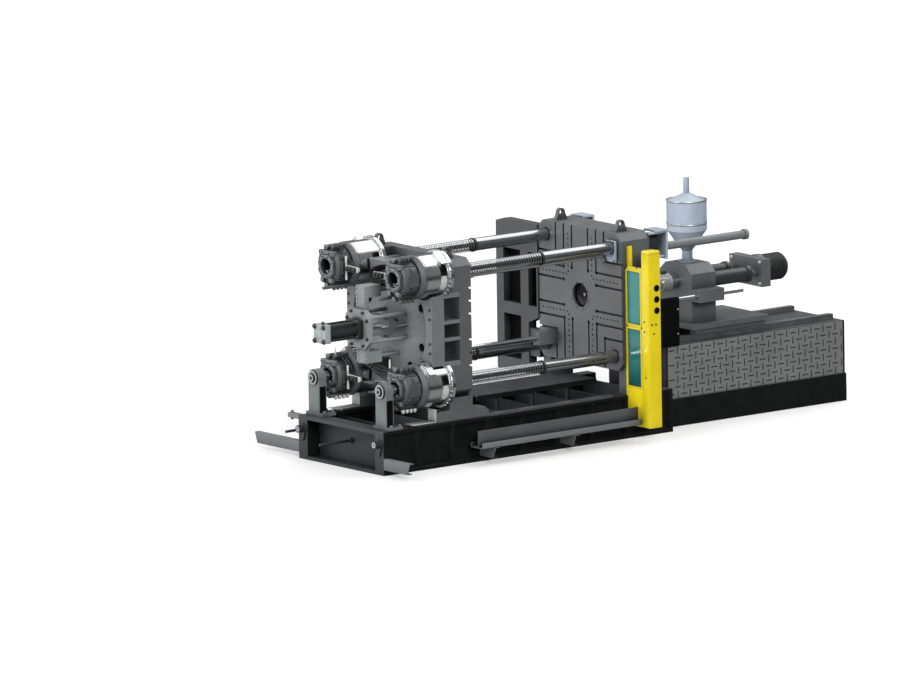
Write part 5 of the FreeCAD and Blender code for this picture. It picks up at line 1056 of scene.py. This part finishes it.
class MACHINE_OT_platen_rear(bpy.types.Operator):
    """Hole rims, screws, hoses, scrapers and valve coils behind the moving platen"""

    bl_idname = "machine.platen_rear"
    bl_label = "Rear of the moving platen"

    def execute(self, context):
        body = "moving_platen"
        holes = [(DISH_X, DISH_HOLE_CIRCLE * math.cos(a), AXIS_Z + DISH_HOLE_CIRCLE * math.sin(a))
                 for a in map(math.radians, DISH_HOLES)]
        rims = [bevel(ring("rim", (x - 0.005, y, z), 0.012, 0.064, DISH_HOLE_RADIUS, "X", 40), 0.0015)
                for x, y, z in holes]
        done(joined("dish_hole_rims", *rims), body, "platen_paint", "dish_face")
        seat = (DISH_X - 0.002, 0, AXIS_Z)
        face = ring("dish_face", seat, 0.002, 0.694, 0.284, "X", 96)
        bit = bar("bit", (0, 0, -0.01), 0.02, DISH_HOLE_RADIUS, "Z", 40)
        cut(face, copies("bits", bit, [facing(p, REAR) for p in holes]))
        done(face, body, "machined_face", "dish_face")
        screws("dish_screws", circle_places(seat, 0.665, 24, 0.13), REAR, 0.009, 0.008, body)
        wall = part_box("platen_rear_casting")[0].x
        spots = [(wall, side * 0.845, AXIS_Z + up) for side in (-1, 1) for up in (-0.28, -0.16, 0.16, 0.28)]
        screws("rear_wall_screws", spots, REAR, 0.015, 0.014, body)
        lay_rear_hoses(body)
        for side, flank in SIDES:
            y0, y1 = side * 0.880, side * 0.715
            foot = inset(block("foot", (-3.43, y0, 0.590), (-3.049, y1, 0.598)), FRONT, (0.001, 0, 0.003))
            upright = inset(block("upright", (-3.052, y0, 0.598), (-3.046, y1, 0.755)), REAR, (0.020, 0.003, 0))
            scraper = bevel(joined("shoe_scraper_" + flank, foot, upright), 0.0015)
            done(scraper, body, "light_paint", "bare_plate")
        coils = []
        for side in (-1, 1):
            for place in (-1, 0, 1):
                x, y, z = -3.215, VALVE_ROW_Y + place * 0.0733, AXIS_Z + side * VALVE_ROW_Z
                coil = block("coil", (x - 0.045, y - 0.029, z - 0.034), (x + 0.01, y + 0.029, z + 0.034))
                coils.append(bevel(inset(coil, REAR, (0.008, 0, 0.016)), 0.003))
        done(joined("valve_coils", *coils), body, "black_rubber")
        clear()
        return {"FINISHED"}


def lay_rear_hoses(body):
    """Three hoses from each valve row across the back of the platen."""
    hoses = []
    for side in (1, -1):
        for k in range(3):
            start = Vector((-3.17, 0.17 + 0.07 * k, AXIS_Z + side * VALVE_ROW_Z))
            out, lift = -0.05 - 0.03 * k, side * 0.03 * (k + 1)
            points = [start] + [start + Vector(step) for step in (
                (out, 0, 0),
                (out, -0.28, lift),
                (0, -0.55 - 0.05 * k, lift + side * 0.02),
                (0.16, -0.62 - 0.05 * k, lift + side * 0.02),
            )]
            hoses.append(pipe("line", points, sizes().pipe_radius))
    done(joined("rear_hoses", *hoses), body, "black_rubber")


class MACHINE_OT_pedestals(bpy.types.Operator):
    """Rings, buttons and foot bolts on the tie bar pedestals"""

    bl_idname = "machine.pedestals"
    bl_label = "Pedestals"

    def execute(self, context):
        body = "machine_base"
        low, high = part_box("tie_bar_pedestals")
        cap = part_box("tie_bar_nuts")[0].x
        foot = BASE_TOP + 0.05
        for side, flank in SIDES:
            name = "pedestal_" + flank
            y = side * BAR_Y
            rim = ring(name + "_rim", (low.x - 0.0245, y, LOWER_Z), 0.003, 0.089, 0.066, "X", 48)
            hub = ring(name + "_hub", (cap - 0.003, y, LOWER_Z), 0.004, 0.046, 0.026, "X", 40)
            done(bevel(joined(name + "_rings", rim, hub), 0.001), body, "galvanized", "cap_paint")
            button = bar(name + "_button", (cap - 0.008, y, LOWER_Z), 0.010, 0.019, "X", 6)
            done(inset(button, REAR, (0.003, 0.002, 0)), body, "dark_steel")
            spots = [(x, side * across, BASE_TOP + 0.04) for x in (low.x + 0.055, high.x - 0.03)
                     for across in (0.560, 0.840)]
            screws(name + "_foot_bolts", spots, UP, 0.022, 0.022, body, "light_paint", head=hex_bolt)
            # near-black panels on both flanks of each pedestal: painted shade in the recesses there
            for way in (-1, 1):
                outer = y + way * PEDESTAL_HALF
                shade_panel = block(name + "_web", (low.x + 0.012, outer, foot),
                            (low.x + 0.108, outer + way * 0.002, LOWER_Z - 0.11))
                done(inset(shade_panel, (0, way, 0), (0.005, -0.001, 0)), body, "dark_steel", "dark_hollow")
            seam = block(name + "_seam", (low.x - 0.0015, y - 0.085, foot), (low.x + 0.001, y + 0.085, LOWER_Z - 0.13))
            done(inset(seam, REAR, (0.012, 0.001, 0)), body, "light_paint")
        clear()
        return {"FINISHED"}


class MACHINE_OT_guards(bpy.types.Operator):
    """Window seals, yellow frames, small screws, and near-black sheets in the guards' openings as painted shade"""

    bl_idname = "machine.guards"
    bl_label = "Guards"

    def execute(self, context):
        body = "machine_base"
        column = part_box("guard_column")
        pieces = [(folded_column("column_folded", *column), "guard_column", "guard_yellow")]
        for node, slot in (("guard_frame", "guard_yellow"), ("guard_windows", "tinted_window")):
            pieces.append((whole_copy(node, node + "_fitted"), node, slot))
        for piece, node, slot in pieces:
            done(piece, body, slot)
            piece.visible_glossy = False
            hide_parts(node)
        low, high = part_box("guard_windows")
        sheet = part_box("guard_frame")[0].x
        seals, frames = [], []
        for z0, z1 in ((low.z, WINDOW_SPLIT[0]), (WINDOW_SPLIT[1], high.z)):
            seals.append(window_frame("seal", (low.x - 0.004, low.y, z0), (low.x + 0.001, high.y, z1), 0.007))
            frames.append(window_frame("frame", (sheet - 0.005, low.y - 0.022, z0 - 0.022),
                                       (sheet + 0.001, high.y + 0.022, z1 + 0.022), 0.020))
        done(joined("window_seals", *seals), body, "black_rubber")
        done(bevel(joined("window_frames", *frames), 0.0015), body, "guard_yellow")
        x, y = column[0].x, column[0].y
        front = [(x, -1.246, 1.563), (x, -1.246, 1.433), (x, -1.267, 0.838),
                 (sheet, -1.100, 2.248), (sheet, -1.19, 1.475), (sheet, -0.89, 1.475)]
        screws("guard_front_screws", front, REAR, 0.011, 0.006, body)
        side = [(0.106, y, 1.532), (0.171, y, 1.531), (0.138, y, 1.411)]
        screws("guard_side_screws", side, NEAR, 0.012, 0.006, body)
        plug = (middle("guard_grommets").x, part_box("guard_grommets")[0].y - 0.005)
        lips = [bevel(ring("lip", (*plug, z), 0.006, 0.036, 0.022, "Y", 32), 0.0015) for z in PLUG_HEIGHTS]
        done(joined("plug_lips", *lips), body, "black_rubber", "dark_hollow")
        # near-black sheets in the far guard's openings: painted shade
        shade_sheets = [inset(block("lining", (0.080, y0 + 0.004, z0 + 0.004), (0.090, y1 - 0.004, z1 - 0.004)), REAR,
                         (0.012, 0, -0.006)) for (y0, y1), (z0, z1) in FAR_OPENINGS]
        done(joined("far_guard_shade_sheets", *shade_sheets), body, "dark_steel", "dark_hollow")
        clear()
        return {"FINISHED"}


def folded_column(name, low, high):
    """Upright column folded from sheet, open at its back, with a cap on top."""
    shaft = block(name, low, (high.x, high.y, high.z - 0.05))
    bevel(inset(shaft, FRONT, (0.004, 0, low.x - high.x + 0.012)), 0.010, 3)
    cap = block("cap", (low.x, low.y, high.z - 0.0485), high)
    edit_side(cap, UP)
    bpy.ops.mesh.bevel(offset=0.026, segments=4, affect="EDGES")
    clear()
    return joined(name, shaft, bevel(cap, 0.004, 2, 50))


def window_frame(name, low, high, width):
    """A flat frame round an opening, square to X."""
    piece = block(name, low, high)
    edit(piece, lambda c, n: abs(n.x) > 0.9)
    bpy.ops.mesh.inset(thickness=width)
    bpy.ops.mesh.bridge_edge_loops()
    clear()
    return tidy(piece)


class MACHINE_OT_base_details(bpy.types.Operator):
    """Deck plates, gutter lip and trunnion discs of the base"""

    bl_idname = "machine.base_details"
    bl_label = "Base"

    def execute(self, context):
        body, top = "machine_base", DECK_HIGH.z
        fields = list(zip(DECK_SEAMS, DECK_SEAMS[1:]))
        plates = [inset(block("plate", (a, DECK_LOW.y + 0.004, top), (b - 0.006, DECK_HIGH.y - 0.004, top + 0.003)), UP,
                        (0.004, 0, 0.001)) for a, b in fields]
        done(joined("deck_plates", *plates), body, "base_paint")
        spots = [(x, side * 0.315, top + 0.004) for side in (-1, 1)
                 for a, b in fields for x in (a + 0.05, (a + b) / 2, b - 0.056)]
        screws("deck_screws", spots, UP, 0.011, 0.005, body)
        discs = [bevel(ring("disc", (TRUNNION_END - 0.002, side * 0.796, 0.398), 0.004, 0.036, 0.014, "X", 32), 0.001)
                 for side in (-1, 1)]
        done(joined("trunnion_discs", *discs), body, "galvanized", "cap_paint")
        low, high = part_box("side_gutter")
        lip = block("gutter_lip", (low.x, low.y - 0.003, low.z), (high.x, low.y, low.z + 0.075))
        done(bevel(narrowed(lip, NEAR, (1, 1, 0.9)), 0.001), body, "platen_paint", "casting_paint")
        clear()
        return {"FINISHED"}


class MACHINE_OT_fixed_platen_details(bpy.types.Operator):
    """Screws of the bar nuts and puller plates, and the end plate of the near upper bar"""

    bl_idname = "machine.fixed_platen_details"
    bl_label = "Fixed platen"

    def execute(self, context):
        body = "machine_base"
        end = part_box("tie_bar_nuts")[1].x
        for corner, (y, z) in CORNERS.items():
            screws("nut_screws_" + corner, circle_places((end, y, z), 0.109, 12, 0.13), FRONT, 0.011, 0.011, body)
        holed = cut(block("bar_end_plate", *BAR_END_PLATE),
                    bar("bore", (-0.1, -BAR_Y, UPPER_Z), 0.2, BAR_RADIUS + 0.003, "X", BAR_SIDES))
        done(bevel(holed, 0.004), body, "blue_grey_paint")
        spots = [(BAR_END_PLATE[0][0], y, z) for y in (-0.78, -0.62) for z in (2.306, 2.550)]
        screws("bar_end_plate_screws", spots, REAR, 0.011, 0.008, body)
        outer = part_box("bar_pullers")[1].x
        centre = middle("bar_pullers").z
        for side, flank in SIDES:
            spots = [(outer, side * (0.76 + a * 0.09), centre + b * 0.15) for a, b in SIGNS]
            screws("puller_bolts_" + flank, spots, FRONT, 0.022, 0.020, body, "galvanized", head=hex_bolt)
        clear()
        return {"FINISHED"}


class MACHINE_OT_tread_bars(bpy.types.Operator):
    """Raised bars of the tread plate, crosswise in turn"""

    bl_idname = "machine.tread_bars"
    bl_label = "Tread bars"

    def execute(self, context):
        long, short = sizes().tread_length / 2, 0.0075
        low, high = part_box("tread_covers")
        for side, flank in SIDES:
            face = side * high.y
            pair = joined("bars", tread_bar(0, face, side, long, short), tread_bar(0.1, face, side, short, long))
            row(pair, 14, (0.2, 0, 0))
            places = [Matrix.Translation((low.x + 0.055 + 0.1 * (k % 2), 0, low.z + 0.056 + 0.0956 * k))
                      for k in range(7)]
            done(copies("tread_bars_" + flank, pair, places), "machine_base", "tread_plate", "dark_steel")
        clear()
        return {"FINISHED"}


def tread_bar(x, face, side, half_x, half_z):
    """One raised bar with a narrowed top."""
    piece = block("bar", (x - half_x, face, -half_z), (x + half_x, face + side * 0.0015, half_z))
    scale = (0.93, 1, 0.5) if half_x > half_z else (0.5, 1, 0.93)
    return narrowed(piece, (0, side, 0), scale, 0.0022)


class MACHINE_OT_injection_end(bpy.types.Operator):
    """Heater straps, hopper rings, cylinder bolts, motor fins and the cabinet door"""

    bl_idname = "machine.injection_end"
    bl_label = "Injection end"

    def execute(self, context):
        body = "injection_carriage"
        starts = [HEATER_START + HEATER_PITCH * i for i in range(HEATER_BANDS)]
        straps = [bevel(ring("strap", (x + dx, 0, AXIS_Z), 0.015, 0.1195, 0.1165, "X", 48), 0.001)
                  for x in starts for dx in (0.010, 0.125)]
        done(joined("heater_straps", *straps), body, "galvanized")
        lugs = [inset(block("lug", (x + 0.035, -0.022, AXIS_Z + 0.114), (x + 0.115, 0.022, AXIS_Z + 0.140)), UP,
                      (0.006, 0, 0.012)) for x in starts]
        done(bevel(joined("heater_plugs", *lugs), 0.002), body, "black_rubber")
        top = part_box("feed_hopper")[1].z
        rings = [bevel(ring("ring", (middle("feed_hopper").x, 0, z), 0.018, 0.266, 0.2585, "Z", 72), 0.002)
                 for z in (top - 0.60, top - 0.30)]
        done(joined("hopper_rings", *rings), body, "galvanized")
        for side, flank in SIDES:
            spots = circle_places((CYLINDER_END, side * 0.215, AXIS_Z), 0.092, 8, 0.39)
            screws("injection_cylinder_bolts_" + flank, spots, FRONT, 0.012, 0.012, body, "galvanized")
        fin = ring("fin", (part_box("screw_drive")[1].x - 0.34, 0, AXIS_Z), 0.008, 0.178, 0.1605, "X", 48)
        done(row(fin, 14, (0.021, 0, 0)), "screw_drive", "dark_steel")
        screws("drive_plate_bolts", four(DRIVE_PLATE, 0.29, 0.14), REAR, 0.020, 0.018, "screw_drive", "galvanized",
               head=hex_bolt)
        low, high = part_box("junction_box")
        plate("box_door", (low.x + 0.012, low.y - 0.008, low.z + 0.02), (high.x - 0.012, low.y + 0.001, high.z - 0.02),
              NEAR, (0.018, 0.004, 0), 0.003, "machine_base", "black_rubber", "dark_hollow")
        spots = [(high.x - 0.035, low.y - 0.010, low.z + up) for up in (0.16, 0.48)]
        screws("box_locks", spots, NEAR, 0.012, 0.010, "machine_base", "galvanized")
        clear()
        return {"FINISHED"}


class MACHINE_OT_stage(bpy.types.Operator):
    """Floor, soft studio lights and the camera"""

    bl_idname = "machine.stage"
    bl_label = "Stage"

    def execute(self, context):
        lay_floor()
        hang_suns(context.scene)
        light_surround(context.scene)
        place_camera(context.scene)
        context.scene.view_settings.view_transform = "Standard"
        return {"FINISHED"}


FLOOR_RADIUS, FLOOR_RIM = 260, 230
SUNS = (
    # name, strength, softness, azimuth, elevation and whether it throws shadows
    ("key", 1.1, 60, 168, 35, True),
    ("fill", 2.0, 30, 174, 24, False),
    ("side", 2.8, 24, -110, 22, True),
)
SOFTBOXES = (
    # azimuth, elevation, half width and glow
    (8, 54, 30, 1.9),
    (128, -8, 34, 0.75),
    (-100, 24, 30, 0.18),
    (100, 30, 26, 0.6),
    (-52, -38, 22, 0.22),
)
BOX_EDGE = 4
VIEW_AZIMUTH, VIEW_ELEVATION, VIEW_ROLL = 52.28, -10.01, 0.901
VIEW_AIM = Vector((-1.409, 0, 1.7625))
SHIFT_RIGHT, SHIFT_UP = 43.82 / 900, 29.58 / 900    # shares of the picture's width
SENSOR = 36


def lay_floor():
    """Wide pale floor that the machine stands on."""
    clear()
    bpy.ops.mesh.primitive_circle_add(
        vertices=96, radius=FLOOR_RADIUS, fill_type="NGON", location=(-0.5, 0, -0.0005))
    floor = inset(settle(bpy.context.object, "floor"), UP, (FLOOR_RIM, 0, 0))
    made = Finish("studio_floor")
    tone = tuple(colours().floor)
    made.set(Base_Color=made.blend(made.spread(made.noise(0.4, 4), 0.3, 0.7, 0, 1), shade(tone, 0.985), tone))
    made.set(Roughness=made.spread(made.noise(3.0, 3), 0.3, 0.7, 0.55, 0.65), Specular_IOR_Level=0.2)
    floor.data.materials.append(made.material)
    floor.visible_glossy = False
    floor.visible_diffuse = False


def toward(azimuth, elevation):
    """Direction at an azimuth and an elevation in degrees."""
    a, e = math.radians(azimuth), math.radians(elevation)
    return Vector((math.cos(e) * math.cos(a), math.cos(e) * math.sin(a), math.sin(e)))


def hang_suns(scene):
    """A wide soft key light, a fill without shadows and a side light."""
    for name, strength, softness, azimuth, elevation, shadow in SUNS:
        light = bpy.data.lights.new(name, "SUN")
        light.energy = strength
        light.angle = math.radians(softness)
        light.use_shadow = shadow
        lamp = bpy.data.objects.new(name, light)
        scene.collection.objects.link(lamp)
        lamp.matrix_world = toward(azimuth, elevation).to_track_quat("Z", "Y").to_matrix().to_4x4()


def light_surround(scene):
    """Even surround, darker below the horizon, with soft boxes in it."""
    scene.world = bpy.data.worlds.new("studio")
    scene.world.use_nodes = True
    made = Nodes(scene.world.node_tree)
    place = made.add("ShaderNodeTexCoord").outputs["Generated"]
    glow = made.spread(made.part(place, "Z"), -0.08, 0.12, 0.05, 0.18, interpolation_type="SMOOTHSTEP")
    for azimuth, elevation, half, power in SOFTBOXES:
        near = made.dot(place, toward(azimuth, elevation))
        low, high = (math.cos(math.radians(half + edge)) for edge in (BOX_EDGE, -BOX_EDGE))
        patch = made.spread(near, low, high, 0, power, interpolation_type="SMOOTHSTEP")
        glow = made.add("ShaderNodeVectorMath", {0: glow, 1: patch}, operation="ADD").outputs["Vector"]
    made.feed(made.tree.nodes["Background"], {"Color": glow})


def place_camera(scene):
    """Camera at the picture's angle, far away with a long lens."""
    view = toward(VIEW_AZIMUTH, VIEW_ELEVATION)
    side = Vector((view.y, -view.x, 0)).normalized()
    top = side.cross(view)
    tilt = math.radians(VIEW_ROLL)
    right = side * math.cos(tilt) - top * math.sin(tilt)
    up = top * math.cos(tilt) + side * math.sin(tilt)
    width, distance = sizes().frame_width, sizes().camera_distance
    aim = VIEW_AIM - right * (SHIFT_RIGHT * width) - up * (SHIFT_UP * width)
    camera = bpy.data.cameras.new("camera")
    camera.sensor_width = SENSOR
    camera.lens = SENSOR * distance / width
    camera.clip_start = distance / 3
    camera.clip_end = distance * 4
    holder = bpy.data.objects.new("camera", camera)
    scene.collection.objects.link(holder)
    rotation = Matrix((right, up, -view)).transposed().to_4x4()
    holder.matrix_world = Matrix.Translation(aim - view * distance) @ rotation
    scene.camera = holder


STEPS = (
    MACHINE_OT_finishes,
    MACHINE_OT_tie_bars,
    MACHINE_OT_mould_faces,
    MACHINE_OT_clamp_drums,
    MACHINE_OT_lock_units,
    MACHINE_OT_ejector,
    MACHINE_OT_platen_rear,
    MACHINE_OT_pedestals,
    MACHINE_OT_guards,
    MACHINE_OT_base_details,
    MACHINE_OT_fixed_platen_details,
    MACHINE_OT_tread_bars,
    MACHINE_OT_injection_end,
    MACHINE_OT_stage,
)


class MACHINE_PT_panel(bpy.types.Panel):
    """Lists the steps that dress the machine"""

    bl_idname = "MACHINE_PT_panel"
    bl_label = "Moulding machine"
    bl_space_type = "VIEW_3D"
    bl_region_type = "UI"
    bl_category = "Machine"

    def draw(self, context):
        for step in STEPS:
            self.layout.operator(step.bl_idname)
        for group in (context.scene.machine_sizes, context.scene.machine_colours):
            box = self.layout.box()
            for key in group.__annotations__:
                box.prop(group, key)


CLASSES = (MachineSizes, MachineColours) + STEPS + (MACHINE_PT_panel,)


def register():
    for made in CLASSES:
        bpy.utils.register_class(made)
    bpy.types.Scene.machine_sizes = PointerProperty(type=MachineSizes)
    bpy.types.Scene.machine_colours = PointerProperty(type=MachineColours)


def unregister():
    del bpy.types.Scene.machine_colours
    del bpy.types.Scene.machine_sizes
    for made in reversed(CLASSES):
        bpy.utils.unregister_class(made)


def main():
    register()
    for step in STEPS:
        group, name = step.bl_idname.split(".")
        getattr(getattr(bpy.ops, group), name)()


if __name__ == "__main__":
    main()
